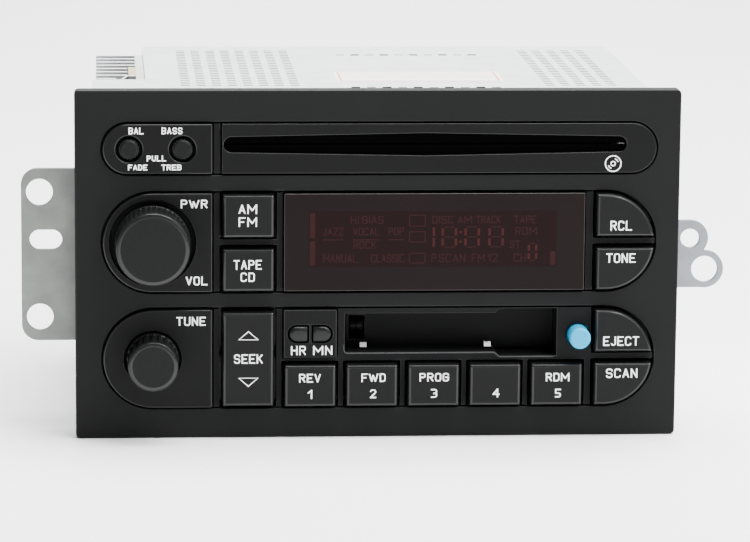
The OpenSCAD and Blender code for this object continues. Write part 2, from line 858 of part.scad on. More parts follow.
module am_fm_button() { flat_button(am_fm_edges); }
module tape_cd_button() { flat_button(tape_cd_edges); }
module preset_button_1() { flat_button(preset_edges(0)); }
module preset_button_2() { flat_button(preset_edges(1)); }
module preset_button_3() { flat_button(preset_edges(2)); }
module preset_button_4() { flat_button(preset_edges(3)); }
module preset_button_5() { flat_button(preset_edges(4)); }
module recall_button() { quarter_button(mid_row_z, mid_row_h, 1); }
module tone_button() { quarter_button(mid_row_z, mid_row_h, -1); }
module eject_button() { quarter_button(low_row_z, low_row_h, 1); }
module scan_button() { quarter_button(low_row_z, low_row_h, -1); }

// Seek rocker: one tall cap on two pins, with a stem towards each switch
module seek_rocker() {
    e = seek_edges;
    pin_end = cap_gap + rocker_ear_t;
    stem_y = switch_y - play - seek_arm * sin(rocker_swing);
    color("#222325") place() {
        cap_block(e[0], e[1], e[2], e[3], panel_back);
        box(e[0] + 1, e[1] - 1, panel_back - 0.2, rocker_y + rocker_pin_r, low_row_z - 4, low_row_z + 4);
        rod_x(rocker_y, low_row_z, rocker_pin_r, e[0] - pin_end, e[1] + pin_end);
        for (side = [-1, 1]) box(
            middle(e)[0] - stem / 2, middle(e)[0] + stem / 2, panel_back - 0.2, stem_y,
            low_row_z + side * seek_arm - stem / 2, low_row_z + side * seek_arm + stem / 2);
    }
}

// Half-pill button of the clock pod, with a flange behind the face panel
pill_rise = 0.9;
pill_proud = pod_proud + pill_rise;
pill_step = 0.4;
module pill_button(side) {
    middle_x = clock_x + side * pill_mid;
    color("#2b2c2e") place() {
        slab(-pill_proud + pill_step, ear_y1) pill_shape(side, pocket_gap);
        slab(-pill_proud, -pill_proud + pill_step) pill_shape(side, pocket_gap + pill_step);
        box(middle_x - 2.6, middle_x + 2.6, ear_y0, ear_y1,
            clock_z - pill_h / 2 - 1, clock_z + pill_h / 2 + 1);
        box(middle_x - 1.5, middle_x + 1.5, ear_y1 - 0.2, stem_end, clock_z - 1.5, clock_z + 1.5);
    }
}

module hour_button() { pill_button(-1); }
module minute_button() { pill_button(1); }

// Round blue button, with a flange behind the face panel
module blue_button() {
    color("#58c6ec") place() {
        turned(blue_x, blue_z) polygon([
            [0, -blue_proud],
            [blue_r - cap_chamfer, -blue_proud],
            [blue_r, -blue_proud + cap_chamfer],
            [blue_r, ear_y0],
            [blue_r + cap_ear, ear_y0],
            [blue_r + cap_ear, ear_y1],
            [0, ear_y1]
        ]);
        button_stem([blue_x, blue_z]);
    }
}

// Cassette door: a plate that closes the mouth, hung on two pins above it
door_pin_r = 1.2;
door_axis_y = door_set + 2;
door_barrel_r = 1.6;
door_axis_z = mouth_z + mouth_tall_h / 2 + sleeve_t + 1.2;
door_x0 = mouth_x0 - sleeve_t;
door_x1 = mouth_x1 + sleeve_t;
door_notch_w = 5.3;
module cassette_door() {
    low_z = mouth_z - mouth_tall_h / 2 + door_gap;
    color("#19191b") place() {
        slab(door_set, door_set + door_t) difference() {
            region(door_x0, door_x1, low_z, door_axis_z);
            region(mouth_x0 + 2, mouth_x0 + 2 + door_notch_w, mouth_z - mouth_low_h / 2 + 2,
                mouth_z + mouth_low_h / 2 - 3);
        }
        rod_x(door_axis_y, door_axis_z, door_barrel_r, door_x0, door_x1);
        rod_x(door_axis_y, door_axis_z, door_pin_r, deck_x0, deck_x1);
    }
}

// Plan of the chassis: a box that steps in on the left for the heat sink
function plan(inset, front) = [
    [-wall_x + inset, front],
    [wall_x - inset, front],
    [wall_x - inset, chassis_back - inset],
    [step_x + inset, chassis_back - inset],
    [step_x + inset, step_y - inset],
    [-wall_x + inset, step_y - inset]
];

// Rear sockets
harness_w = 42;
harness_in = 29.5;
harness_x = [wall_x - harness_in - harness_w, wall_x - harness_in];
harness_h = 14;
harness_wall = 2;
harness_reach = 6;
harness_depth = 14;
harness_floor = 4;
main_drop = 4.5;
main_z = mid_row_z - main_drop;
main_top = main_z + board_t;
aerial_in = 29.5;
aerial_rise = 15;
aerial_x = step_x + aerial_in;
aerial_z = main_z + aerial_rise;
aerial_r = 5;
aerial_bore_r = 3.5;

// Chassis tray: floor and side walls, open to the front, the rear and above
module behind_tray() {
    translate([-far / 2, inner_back]) square(far);
}
module chassis_tray() {
    color("#c9cccb") place() {
        translate([0, 0, chassis_z0]) linear_extrude(sheet_t) difference() {
            polygon(plan(0, chassis_front));
            behind_tray();
        }
        translate([0, 0, floor_z]) linear_extrude(chassis_z1 - sheet_t - floor_z) difference() {
            polygon(plan(0, chassis_front));
            polygon(plan(sheet_t, chassis_front - 1));
            behind_tray();
        }
    }
}

// Rear panel: a sheet that closes the tray, cut out for the two sockets
module rear_panel() {
    color("#c9cccb") place() difference() {
        box(step_x, wall_x, inner_back, chassis_back, chassis_z0, chassis_z1 - sheet_t);
        box(harness_x[0] - play, harness_x[1] + play, inner_back - 1, chassis_back + 1,
            main_top - play, main_top + harness_h + play);
        rod_y(aerial_x, aerial_z, aerial_r + play, inner_back - 1, chassis_back + 1);
    }
}

// Vent slots of the top cover: two fields and two short rows between them
vent_left_in = 13.2;
vent_left_x = step_x + vent_left_in;
vent_left_columns = 8;
vent_right_in = 31;
vent_right_x = wall_x - vent_right_in;
vent_right_columns = 5;
vent_y0 = 45;
vent_rows = 22;
vent_mid_x = -5;
vent_mid_count = 10;
vent_mid_y = [40, 126];
module vent(x, y, l) {
    translate([x, y]) square([vent_w, l], center = true);
}
module vent_field(x0, columns) {
    for (i = [0 : columns - 1], j = [0 : vent_rows - 1])
        vent(x0 + i * vent_pitch_x, vent_y0 + j * vent_pitch_y, vent_l);
}

// Top cover: a vented sheet with folded lips outside the chassis walls
lip_t = 0.8;
lip_set = 12;
module cover_lip(x, y1) {
    root = x > 0 ? x - 2 : x - lip_t;
    side = x > 0 ? x : x - lip_t;
    box(root, root + 2 + lip_t, chassis_front + lip_set, y1, chassis_z1 - sheet_t, chassis_z1);
    box(side, side + lip_t, chassis_front + lip_set, y1, chassis_z1 - lip_h, chassis_z1);
}
module top_cover() {
    color("#d3d6d5") place() {
        translate([0, 0, chassis_z1 - sheet_t]) linear_extrude(sheet_t) difference() {
            polygon(plan(0, chassis_front));
            vent_field(vent_left_x, vent_left_columns);
            vent_field(vent_right_x, vent_right_columns);
            for (i = [0 : vent_mid_count - 1], k = [0, 1])
                vent(vent_mid_x + i * vent_pitch_x, vent_mid_y[k], (i + k) % 2 == 0 ? 2 * vent_l : vent_l);
        }
        cover_lip(wall_x, chassis_back - 2);
        cover_lip(-wall_x, step_y - 2);
    }
}

// Heat sink: a base on the stepped wall and upright fins, cut back round the power chip and its clip
sink_y0 = step_y + 1;
sink_z0 = chassis_z0 + 1.5;
sink_z1 = chassis_z1 - 1;
sink_face_x = step_x - sink_base_t;
fin_pitch = (sink_l - fin_t) / (fin_count - 1);
chip_in = 18;
chip_w = 22;
chip_y = [step_y + chip_in, step_y + chip_in + chip_w];
chip_t = 2.5;
chip_h = 14;
clip_t = 0.8;
clip_h = 11;
clip_reach = 5.8;
clip_tail = 5;
module heat_sink() {
    color("#b4b7ba") place() difference() {
        union() {
            box(sink_face_x, step_x, sink_y0, sink_y0 + sink_l, sink_z0, sink_z1);
            for (i = [0 : fin_count - 1]) box(
                -wall_x + 0.5, sink_face_x + 0.2, sink_y0 + i * fin_pitch, sink_y0 + i * fin_pitch + fin_t,
                sink_z0, sink_z1);
        }
        box(sink_face_x - chip_t - play, sink_face_x, chip_y[0] - play, chip_y[1] + play,
            sink_z1 - chip_h - play, far);
        box(sink_face_x - clip_reach - 1, sink_face_x, sink_y0 - 1, chip_y[0] + play,
            sink_z1 - clip_h - play, far);
    }
}

module power_chip() {
    color("#b9ab86") place() box(
        sink_face_x - chip_t, sink_face_x, chip_y[0], chip_y[1], sink_z1 - chip_h, sink_z1);
}

// Spring clip: a bent strip that presses on the end of the chip
module sink_clip() {
    x0 = sink_face_x - clip_reach;
    x1 = sink_face_x - chip_t;
    y0 = step_y + clip_tail;
    y1 = chip_y[0];
    color("#9da1a4") place() translate([0, 0, sink_z1 - clip_h]) linear_extrude(clip_h) polygon([
        [x0, step_y], [x0 + clip_t, step_y], [x0 + clip_t, y0], [x1, y1 - clip_t],
        [sink_face_x, y1 - clip_t], [sink_face_x, y1], [x1 - clip_t, y1], [x0, y0]
    ]);
}

// Left bracket: a tall lug with two round holes and a slot, folded back along the chassis
bracket_reach = plate_w / 2 + bracket_out;
lug_drop = 27.6;
lug_z0 = plate_h / 2 - lug_drop;
lug_corner_r = 5.5;
lug_hole_in = 6;
lug_slot = [10.6, 6.4];
lug_slot_at = [2, 5];
lug_root = 8;
lug_fold = 26;
module left_bracket() {
    z1 = lug_z0 + left_lug_h;
    hole_x = -bracket_reach + lug_hole_in;
    middle_z = (lug_z0 + z1) / 2;
    slot_r = lug_slot[1] / 2;
    slot_reach = lug_slot[0] / 2 - slot_r;
    color("#b3b8b4") place() {
        slab(bracket_y, bracket_y + bracket_t) difference() {
            union() {
                rounded(-bracket_reach, -wall_x, lug_z0, z1, lug_corner_r);
                region(-wall_x - lug_root, -wall_x, lug_z0, z1);
            }
            for (side = [-1, 1]) translate([hole_x, middle_z + side * left_pitch / 2]) circle(left_hole_r);
            translate([hole_x, middle_z] + lug_slot_at) {
                region(-slot_reach, slot_reach, -slot_r, slot_r);
                for (side = [-1, 1]) translate([side * slot_reach, 0]) circle(slot_r);
            }
        }
        box(-wall_x - bracket_t, -wall_x, bracket_y, bracket_y + lug_fold, lug_z0, z1);
    }
}

// Right bracket: two round lobes of different reach, folded back along the chassis
small_lobe_out = 6.2;
small_lobe = [plate_w / 2 + small_lobe_out, 5.5];
large_lobe_z = -4.8;
lobe_rim = 2;
right_lug_z = [-11, 11.6];
module right_bracket() {
    small_r = right_small_r + lobe_rim + 1;
    large_r = right_large_r + lobe_rim;
    large_x = bracket_reach - large_r;
    color("#c3c9cf") place() {
        translate([0, 0, plate_h / 2]) slab(bracket_y, bracket_y + bracket_t) difference() {
            union() {
                region(wall_x, small_lobe[0], right_lug_z[0], right_lug_z[1]);
                translate(small_lobe) circle(small_r);
                translate([large_x, large_lobe_z]) circle(large_r);
                region(small_lobe[0] - 1, large_x, right_lug_z[0], large_lobe_z + large_r);
            }
            translate(small_lobe) circle(right_small_r);
            translate([large_x, large_lobe_z]) circle(right_large_r);
        }
        box(wall_x, wall_x + bracket_t, bracket_y, bracket_y + lug_fold,
            plate_h / 2 + right_lug_z[0], plate_h / 2 + right_lug_z[1]);
    }
}

// Main board: a shelf across the back of the chassis, with capacitors and chips
main_front = 78;
capacitor_x = [-55, -30, -12, 75];
capacitor_in = 20;
capacitor_y = main_front + capacitor_in;
capacitor_r = 5;
capacitor_h = 12;
circuit_x = [10, 40];
circuit_in = 12;
circuit_y = main_front + circuit_in;
circuit_side = 14;
circuit_h = 2.4;
module main_board() {
    color("#35623f") place() {
        box(inner_x0, inner_x1, main_front, inner_back, main_z, main_top);
        for (x = capacitor_x) rod_z([x, capacitor_y], capacitor_r, main_top - 0.1, main_top + capacitor_h);
        for (x = circuit_x) box(
            x, x + circuit_side, circuit_y, circuit_y + circuit_side, main_top - 0.1, main_top + circuit_h);
    }
}

// Harness socket: an open shell with two rows of pins
pin_count = 8;
pin_side = 1;
pin_l = 7;
module harness_socket() {
    back = chassis_back + harness_reach;
    x0 = harness_x[0] + harness_wall;
    x1 = harness_x[1] - harness_wall;
    pin_pitch = (x1 - x0) / pin_count;
    color("#2a2b2d") place() {
        difference() {
            box(harness_x[0], harness_x[1], back - harness_depth - harness_floor, back,
                main_top, main_top + harness_h);
            box(x0, x1, back - harness_depth, back + 1,
                main_top + harness_wall, main_top + harness_h - harness_wall);
        }
        for (i = [0 : pin_count - 1], z = [harness_h / 3, harness_h * 2 / 3]) box(
            x0 + (i + 0.5) * pin_pitch - pin_side / 2, x0 + (i + 0.5) * pin_pitch + pin_side / 2,
            back - harness_depth - 1, back - harness_depth + pin_l,
            main_top + z - pin_side / 2, main_top + z + pin_side / 2);
    }
}

// Aerial socket: a flanged metal tube through the rear wall
aerial_flange_r = 8;
aerial_flange_t = 2;
aerial_floor = 2;
module antenna_socket() {
    color("#c0c3c6") place() difference() {
        union() {
            rod_y(aerial_x, aerial_z, aerial_flange_r, inner_back - aerial_flange_t, inner_back);
            rod_y(aerial_x, aerial_z, aerial_r, inner_back - aerial_flange_t, chassis_back + socket_reach);
        }
        rod_y(aerial_x, aerial_z, aerial_bore_r, inner_back - aerial_flange_t + aerial_floor,
            chassis_back + socket_reach + 1);
    }
}

// Tape deck
deck_t = 1.2;
deck_y0 = board_y + board_t + play;
deck_y1 = 124;
tape_drop = 14.2;
tape_z = mouth_z - tape_drop;
tape_top = tape_z + deck_t;
deck_x0 = door_x0 - door_gap - deck_t;
deck_out = 11.3;
deck_x1 = mouth_x1 + deck_out;
deck_wall_h = 28;
hub_x = mouth_x0 + 0.458 * mouth_w;
hub_y = [49, 91.5];
hub_r = 9;
hub_axle_r = 1.5;
hub_lift = 0.4;
capstan_in = 6.7;
capstan = [mouth_x1 - capstan_in, 40];
capstan_r = 1;
bearing_r = 3;
under_deck = tape_z - floor_z;
bearing_h = 0.48 * under_deck;
wheel_r = 14;
wheel_z0 = floor_z + 0.1 * under_deck;
wheel_z1 = wheel_z0 + 0.275 * under_deck;
motor_r = 12;
motor = [deck_x0 - motor_r - 7, 60];
motor_h = 21;
pulley_r = 4;
pulley_shaft = 5;
pinch_r = 4.5;
head_travel = 5;
pinch_x = capstan[0] + capstan_r + pinch_r + head_travel + play;

// Upright round bar
module rod_z(p, r, z0, z1) {
    translate([p[0], p[1], z0]) cylinder(r = r, h = z1 - z0);
}

// Tape deck: a shelf across the chassis, two side walls that carry the door, the capstan's bearing
// and the motor's can
module tape_deck() {
    color("#aeb2b0") place() difference() {
        union() {
            box(inner_x0, inner_x1, deck_y0, deck_y1, tape_z, tape_top);
            for (x = [deck_x0, deck_x1 - deck_t]) box(
                x, x + deck_t, deck_y0, deck_y1 - 4, tape_top - 0.1, tape_top + deck_wall_h);
            rod_z(capstan, bearing_r, tape_z - bearing_h, tape_z + 0.1);
            rod_z(motor, motor_r, tape_top - 0.1, tape_top + motor_h);
        }
        rod_z(capstan, capstan_r + run_gap, 0, far);
        rod_z(motor, capstan_r + run_gap, 0, tape_top + pulley_shaft + 1);
        for (y = hub_y) rod_z([hub_x, y], hub_axle_r + run_gap, 0, far);
        rod_x(door_axis_y, door_axis_z, door_pin_r + run_gap, deck_x0 - 1, deck_x1 + 1);
    }
}

// Reel hub: a flange on an axle, with a splined spindle for the tape's reel
spline_count = 3;
hub_flange_t = 1.8;
hub_spindle_r = 3;
hub_spindle_h = 5.6;
spline = [1.7, 1.2, 3.5];
hub_foot_t = 1.4;
module reel_hub(y) {
    z0 = tape_top + hub_lift;
    spindle_z = z0 + hub_flange_t - 0.1;
    foot_top = tape_z - hub_lift;
    p = [hub_x, y];
    rod_z(p, hub_r, z0, z0 + hub_flange_t);
    rod_z(p, hub_spindle_r, spindle_z, z0 + hub_spindle_h);
    for (i = [0 : spline_count - 1]) translate([hub_x, y, spindle_z]) rotate(i * 360 / spline_count)
        translate([hub_spindle_r - 0.5, -spline[1] / 2, 0]) cube(spline);
    rod_z(p, hub_axle_r, foot_top - 0.1, z0 + 0.1);
    rod_z(p, hub_spindle_r, foot_top - hub_foot_t, foot_top);
}

module take_up_hub() {
    color("#e6e3d8") place() reel_hub(hub_y[0]);
}

module supply_hub() {
    color("#e6e3d8") place() reel_hub(hub_y[1]);
}

// Capstan and its flywheel, in one piece
module capstan_flywheel() {
    color("#b08d4f") place() {
        rod_z(capstan, wheel_r, wheel_z0, wheel_z1);
        rod_z(capstan, capstan_r, wheel_z0, tape_top + 9);
    }
}

module motor_pulley() {
    color("#c9a24a") place() {
        rod_z(motor, pulley_r, wheel_z0, wheel_z1);
        rod_z(motor, capstan_r, wheel_z0, tape_top + pulley_shaft);
    }
}

// Drive belt round the flywheel and the motor's pulley
belt_t = 1.2;
belt_h = 1.6;
module belt_shape(grow) {
    hull() {
        translate(capstan) circle(wheel_r + grow);
        translate(motor) circle(pulley_r + grow);
    }
}
module drive_belt() {
    color("#1b1b1b") place() translate([0, 0, wheel_z0 + 1.2]) linear_extrude(belt_h) difference() {
        belt_shape(play + belt_t);
        belt_shape(play);
    }
}

// Head plate: a sheet that slides towards the tape, with the head and the pinch roller's post
plate_z0 = tape_top + hub_lift;
head_plate_t = 1;
head_top = plate_z0 + head_plate_t;
head_side = 6;
head_front = 10;
head_l = 52;
head_x0 = capstan[0] - head_side;
head_x1 = deck_x1 - deck_t - 4 * play;
head_block = [6, 14, 15];
head_block_x = mouth_x1 - 1.7;
head_block_y = capstan[1] + 2 * head_front;
pinch_h = 12.2;
module head_plate() {
    slot_reach = capstan_r + play;
    slot_left = capstan[0] - slot_reach;
    color("#d0d3d5") place() {
        translate([0, 0, plate_z0]) linear_extrude(head_plate_t) difference() {
            translate([head_x0, capstan[1] - head_front]) square([head_x1 - head_x0, head_l]);
            translate([slot_left, capstan[1] - slot_reach])
                square([2 * slot_reach + head_travel, 2 * slot_reach]);
        }
        translate([head_block_x, head_block_y, head_top - 0.1]) cube(head_block);
        rod_z([pinch_x, capstan[1]], capstan_r, head_top - 0.1, head_top + pinch_h + 4 * play);
    }
}

module pinch_roller() {
    color("#2a2a2a") place() difference() {
        rod_z([pinch_x, capstan[1]], pinch_r, head_top + play, head_top + play + pinch_h);
        rod_z([pinch_x, capstan[1]], capstan_r + run_gap, 0, far);
    }
}

// Disc deck
disc_y = 82;
cd_drop = 14.4;
cd_z = slot_z - cd_drop;
cd_top = cd_z + deck_t;
cd_y0 = deck_y0 + 3;
cd_y1 = inner_back - 3;
spindle_r = 1.5;
spindle_motor_r = 10;
disc_room = 4;
spindle_motor_top = slot_z - disc_room;
table_r = 14;
table_t = 2;
cone_r = 7.4;
cone_draft = 1;
cone_h = 1.8;
table_z = spindle_motor_top + hub_lift;
rail_r = 1.5;
rail_half = 12;
rail_lift = 4.8;
rail_y = [disc_y - rail_half, disc_y + rail_half];
rail_z = cd_top + rail_lift;
rail_out = [1.5, 2.8];
rail_x = [slot_x + spindle_motor_r + rail_out[0], slot_x1 + rail_out[1]];
rail_post = 2;
sled_x0 = slot_x + table_r + 1;
sled_w = 18;
sled_room = 3.4;
sled_half_h = 2.8;
optic_r = 3;
optic_h = 1.8;
roller_set = 8;
roller_y = cd_y0 + roller_set;
roller_z = spindle_motor_top;
roller_r = 3.4;
roller_end = 3.2;
roller_half = (slot_x1 - slot_x0) / 2 - roller_end;
post_t = 2;
post_half = 4;
post_rise = 3;
guide_out = [8.8, 4.8];
guide_x = [slot_x0 - guide_out[0], slot_x1 + guide_out[1]];
guide_set = 6;
guide_rise = 6;
rail_rise = 2;
rail_room = 3;

// Disc deck: a shelf across the chassis with the spindle motor, pickup rails and the roller's posts
module cd_deck() {
    color("#a9adac") place() difference() {
        union() {
            box(inner_x0, inner_x1, cd_y0, cd_y1, cd_z, cd_top);
            for (x = guide_x) box(
                x, x + deck_t, roller_y + guide_set, cd_y1, cd_top - 0.1, slot_z + guide_rise);
            rod_z([slot_x, disc_y], spindle_motor_r, cd_top - 0.1, spindle_motor_top);
            for (x = rail_x) box(x - rail_post, x, rail_y[0] - rail_room, rail_y[1] + rail_room,
                cd_top - 0.1, rail_z + rail_rise);
            for (y = rail_y) rod_x(y, rail_z, rail_r, rail_x[0] - rail_post / 2, rail_x[1] - rail_post / 2);
            for (side = [-1, 1]) translate([slot_x + side * (roller_half + post_t), 0, 0])
                box(-post_t / 2, post_t / 2, roller_y - post_half, roller_y + post_half,
                    cd_top - 0.1, roller_z + post_rise);
        }
        rod_z([slot_x, disc_y], spindle_r + run_gap, cd_top, far);
        rod_x(roller_y, roller_z, spindle_r + run_gap, slot_x - far / 2, slot_x + far / 2);
    }
}

module cd_turntable() {
    color("#1f2022") place() translate([slot_x, disc_y, 0]) rotate_extrude() polygon([
        [0, cd_top + 1], [spindle_r, cd_top + 1], [spindle_r, table_z], [table_r, table_z],
        [table_r, table_z + table_t], [cone_r, table_z + table_t],
        [cone_r - cone_draft, table_z + table_t + cone_h], [0, table_z + table_t + cone_h]
    ]);
}

// Pickup: a sled on two rails, with its lens on top
module cd_pickup() {
    color("#33363a") place() difference() {
        union() {
            box(sled_x0, sled_x0 + sled_w, rail_y[0] - sled_room, rail_y[1] + sled_room,
                rail_z - sled_half_h, rail_z + sled_half_h);
            rod_z([sled_x0 + sled_w / 2, disc_y], optic_r, rail_z + sled_half_h - 0.1,
                rail_z + sled_half_h + optic_h);
        }
        for (y = rail_y) rod_x(y, rail_z, rail_r + run_gap, sled_x0 - 1, sled_x0 + sled_w + 1);
    }
}

module cd_feed_roller() {
    color("#3d4043") place() {
        rod_x(roller_y, roller_z, roller_r, slot_x - roller_half + 1.5, slot_x + roller_half - 1.5);
        rod_x(roller_y, roller_z, spindle_r, slot_x - roller_half - 3, slot_x + roller_half + 3);
    }
}

trim_plate();
face_panel();
panel_frame();
tone_pod();
volume_pod();
tune_pod();
clock_pod();
cd_slot_panel();
display_lens();
display_tube();
front_board();
front_controls();
volume_rotor();
volume_knob();
volume_shaft();
tune_knob();
tune_shaft();
balance_rotor();
balance_knob();
bass_rotor();
bass_knob();
am_fm_button();
tape_cd_button();
recall_button();
tone_button();
eject_button();
scan_button();
preset_button_1();
preset_button_2();
preset_button_3();
preset_button_4();
preset_button_5();
seek_rocker();
hour_button();
minute_button();
blue_button();
cassette_door();
chassis_tray();
rear_panel();
top_cover();
heat_sink();
power_chip();
sink_clip();
left_bracket();
right_bracket();
main_board();
harness_socket();
antenna_socket();
tape_deck();
take_up_hub();
supply_hub();
capstan_flywheel();
motor_pulley();
drive_belt();
head_plate();
pinch_roller();
cd_deck();
cd_turntable();
cd_pickup();
cd_feed_roller();
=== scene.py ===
# %% [markdown]
# # A car radio with a disc slot and a cassette door
#
# The CAD model of this radio gives every solid its true size and place. This lesson dresses those
# solids as a photographer would find them: soft moulded edges, white legends on black buttons, a dark
# display window, galvanised sheet behind. Everything is in metres and in the CAD model's own frame, so
# the depths and edges that a piece needs can be taken from the solids.

import json
import math

import bmesh
import bpy
from mathutils import Matrix, Vector

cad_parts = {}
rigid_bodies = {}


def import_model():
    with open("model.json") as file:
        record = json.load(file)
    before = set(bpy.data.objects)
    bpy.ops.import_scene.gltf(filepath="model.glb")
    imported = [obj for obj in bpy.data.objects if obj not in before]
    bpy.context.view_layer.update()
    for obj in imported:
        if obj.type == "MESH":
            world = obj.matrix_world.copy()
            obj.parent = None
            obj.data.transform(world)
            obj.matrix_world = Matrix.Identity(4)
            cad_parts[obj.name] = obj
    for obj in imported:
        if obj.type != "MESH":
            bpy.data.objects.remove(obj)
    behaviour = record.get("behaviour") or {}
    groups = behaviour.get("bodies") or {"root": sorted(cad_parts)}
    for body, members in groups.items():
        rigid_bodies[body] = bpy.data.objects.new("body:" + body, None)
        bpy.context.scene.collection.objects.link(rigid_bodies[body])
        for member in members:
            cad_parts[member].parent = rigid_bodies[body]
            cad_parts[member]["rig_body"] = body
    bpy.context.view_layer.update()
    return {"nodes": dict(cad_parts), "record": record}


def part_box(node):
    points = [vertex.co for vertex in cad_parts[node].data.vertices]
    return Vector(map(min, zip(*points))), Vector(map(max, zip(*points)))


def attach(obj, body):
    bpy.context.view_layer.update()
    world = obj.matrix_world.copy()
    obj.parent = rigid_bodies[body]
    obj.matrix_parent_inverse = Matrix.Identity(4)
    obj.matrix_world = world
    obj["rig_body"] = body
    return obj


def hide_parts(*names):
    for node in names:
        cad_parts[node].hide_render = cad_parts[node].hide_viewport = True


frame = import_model()
MM = 0.001
for plain in list(bpy.data.materials):
    bpy.data.materials.remove(plain)
SLOT_OF = {part["node"]: part["material_slot"] for part in frame["record"]["subparts"]}

# %% [markdown]
# ## Places on the face
#
# The trim plate's front is the plane that everything on the face is measured from. One helper turns
# millimetres across the plate, up from its lower edge and back from its front into a point of the
# frame. Another gives the depth of a solid's own front, for what is printed or set on it.

# %% Face coordinates
PLATE_LOW, PLATE_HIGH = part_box("trim_plate")
FRONT = PLATE_LOW.y


def face(x, z, depth=0.0):
    """A point of the face: millimetres from the plate's middle, above its lower edge, behind its front."""
    return Vector((x * MM, FRONT + depth * MM, PLATE_LOW.z + z * MM))


def front_of(node):
    """How far a solid's front lies behind the plate's front, in millimetres."""
    return (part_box(node)[0].y - FRONT) / MM


print("plate", [round(v / MM, 1) for v in PLATE_HIGH - PLATE_LOW], "mm")

# %% [markdown]
# ## The camera
#
# The photograph was taken from well back with a long lens, a little to the left of the face and about
# ten degrees above it. Such a lens keeps parallel edges nearly parallel. The angles were found by
# fitting the plate's corners, and the camera is turned by half a degree about its own axis as well.

# %% Camera
SIGHT = face(-1.0, 54.9)
DISTANCE = 1.2522
AZIMUTH, ELEVATION, ROLL = (math.radians(a) for a in (-4.13, 10.37, 0.48))
LENS, SENSOR = 185.4, 36.0


def add_object(name, data):
    """Puts a new object with that data in the scene."""
    made = bpy.data.objects.new(name, data)
    bpy.context.scene.collection.objects.link(made)
    return made


back = Vector((math.sin(AZIMUTH) * math.cos(ELEVATION), -math.cos(AZIMUTH) * math.cos(ELEVATION),
               math.sin(ELEVATION)))
level = Vector((0, 0, 1)).cross(back).normalized()
upright = back.cross(level)
right = math.cos(ROLL) * level + math.sin(ROLL) * upright
up = math.cos(ROLL) * upright - math.sin(ROLL) * level
eye = SIGHT + back * DISTANCE
camera_data = bpy.data.cameras.new("camera")
camera_data.lens, camera_data.sensor_width, camera_data.sensor_fit = LENS, SENSOR, "HORIZONTAL"
camera = add_object("camera", camera_data)
camera.matrix_world = Matrix((right, up, back)).transposed().to_4x4()
camera.location = eye
bpy.context.scene.camera = camera
print("camera", [round(v, 3) for v in eye])

# %% [markdown]
# ## Writing shaders as arithmetic
#
# A material's pattern is a small calculation: noise times a strength, one minus a mask. Wiring that by
# hand hides the calculation, so a thin class carries a socket and turns Python's operators into Math
# nodes.


# %% Shader arithmetic
class Signal:
    """A shader value. Arithmetic on it adds Math nodes to its finish."""

    def __init__(self, finish, socket):
        self.finish, self.socket = finish, socket

    def math(self, operation, first, second):
        return self.finish.node("Math", {"operation": operation}, {0: first, 1: second})

    def __add__(self, other):
        return self.math("ADD", self, other)

    def __radd__(self, other):
        return self.math("ADD", other, self)

    def __sub__(self, other):
        return self.math("SUBTRACT", self, other)

    def __rsub__(self, other):
        return self.math("SUBTRACT", other, self)

    def __mul__(self, other):
        return self.math("MULTIPLY", self, other)

    def __rmul__(self, other):
        return self.math("MULTIPLY", other, self)

    def __gt__(self, other):
        return self.math("GREATER_THAN", self, other)


print("shader arithmetic ready")

# %% [markdown]
# A finish is a material with one surface shader. One method makes any node from its type, its settings
# and its inputs; the others are the few patterns that nearly every finish here needs. Patterns read
# Object coordinates, so their sizes are real sizes.


# %% Finishes
class Finish:
    """A material, its surface shader, and the nodes that feed it."""

    def __init__(self, name):
        self.material = bpy.data.materials.new(name)
        self.material.use_nodes = True
        self.tree = self.material.node_tree
        self.shader = self.tree.nodes["Principled BSDF"]
        self.place = self.node("TexCoord", out="Object")

    def node(self, kind, settings=None, inputs=None, out=0):
        made = self.tree.nodes.new("ShaderNode" + kind)
        for key, value in (settings or {}).items():
            setattr(made, key, value)
        for key, value in (inputs or {}).items():
            self.feed(made.inputs[key], value)
        return Signal(self, made.outputs[out])

    def feed(self, socket, value):
        if isinstance(value, Signal):
            self.tree.links.new(value.socket, socket)
        else:
            socket.default_value = value

    def surface(self, **inputs):
        for key, value in inputs.items():
            self.feed(self.shader.inputs[key.replace("_", " ")], value)
        return self.material

    def noise(self, size, detail, stretch=(1, 1, 1)):
        """Noise whose lumps are about size metres across, from 0 to 1."""
        where = self.node("Mapping", {}, {"Vector": self.place, "Scale": stretch})
        return self.node("TexNoise", {}, {"Vector": where, "Scale": 1.0 / size, "Detail": detail})

    def mark(self, name):
        """What a mesh attribute says, from 0 to 1."""
        return self.node("Attribute", {"attribute_name": name}, out="Fac")

    def blend(self, amount, first, second):
        """A colour between two colours."""
        return self.node("Mix", {"data_type": "RGBA"}, {0: amount, 6: first, 7: second}, out=2)

    def bump(self, height, depth):
        return self.node("Bump", {}, {"Height": height, "Distance": depth})


def grey(value, warm=0.0):
    """A linear grey, a little warmer or cooler."""
    return (value * (1 + warm), value, value * (1 - warm), 1.0)


print("finishes ready")

# %% [markdown]
# ## Moulded black plastic
#
# The trim plate, the pods, the buttons and the knobs are all black, but not the same black. The plate is dull
# with a fine spark-eroded grain, the buttons are smoother, and the knobs have a coarse sandy face. One recipe
# covers them: a fine noise for the grain's bumps, a slow noise for uneven sheen, and a lighter, glossier band
# on every rounded edge, which a mesh attribute marks. That band's lighter colour is partly rubbed wear and
# partly a painted highlight along the edges. A thin clear coat on that band alone catches the lamps as a fine
# bright line.

# %% Black plastics
SHEEN_MM, DUST_MM, DUST_LEVEL = 23, 0.55, 0.69
LIGHTEST, COOL = 3.2, -0.03
PLASTIC_SHINE, COAT_BLUR = 0.10, 0.22


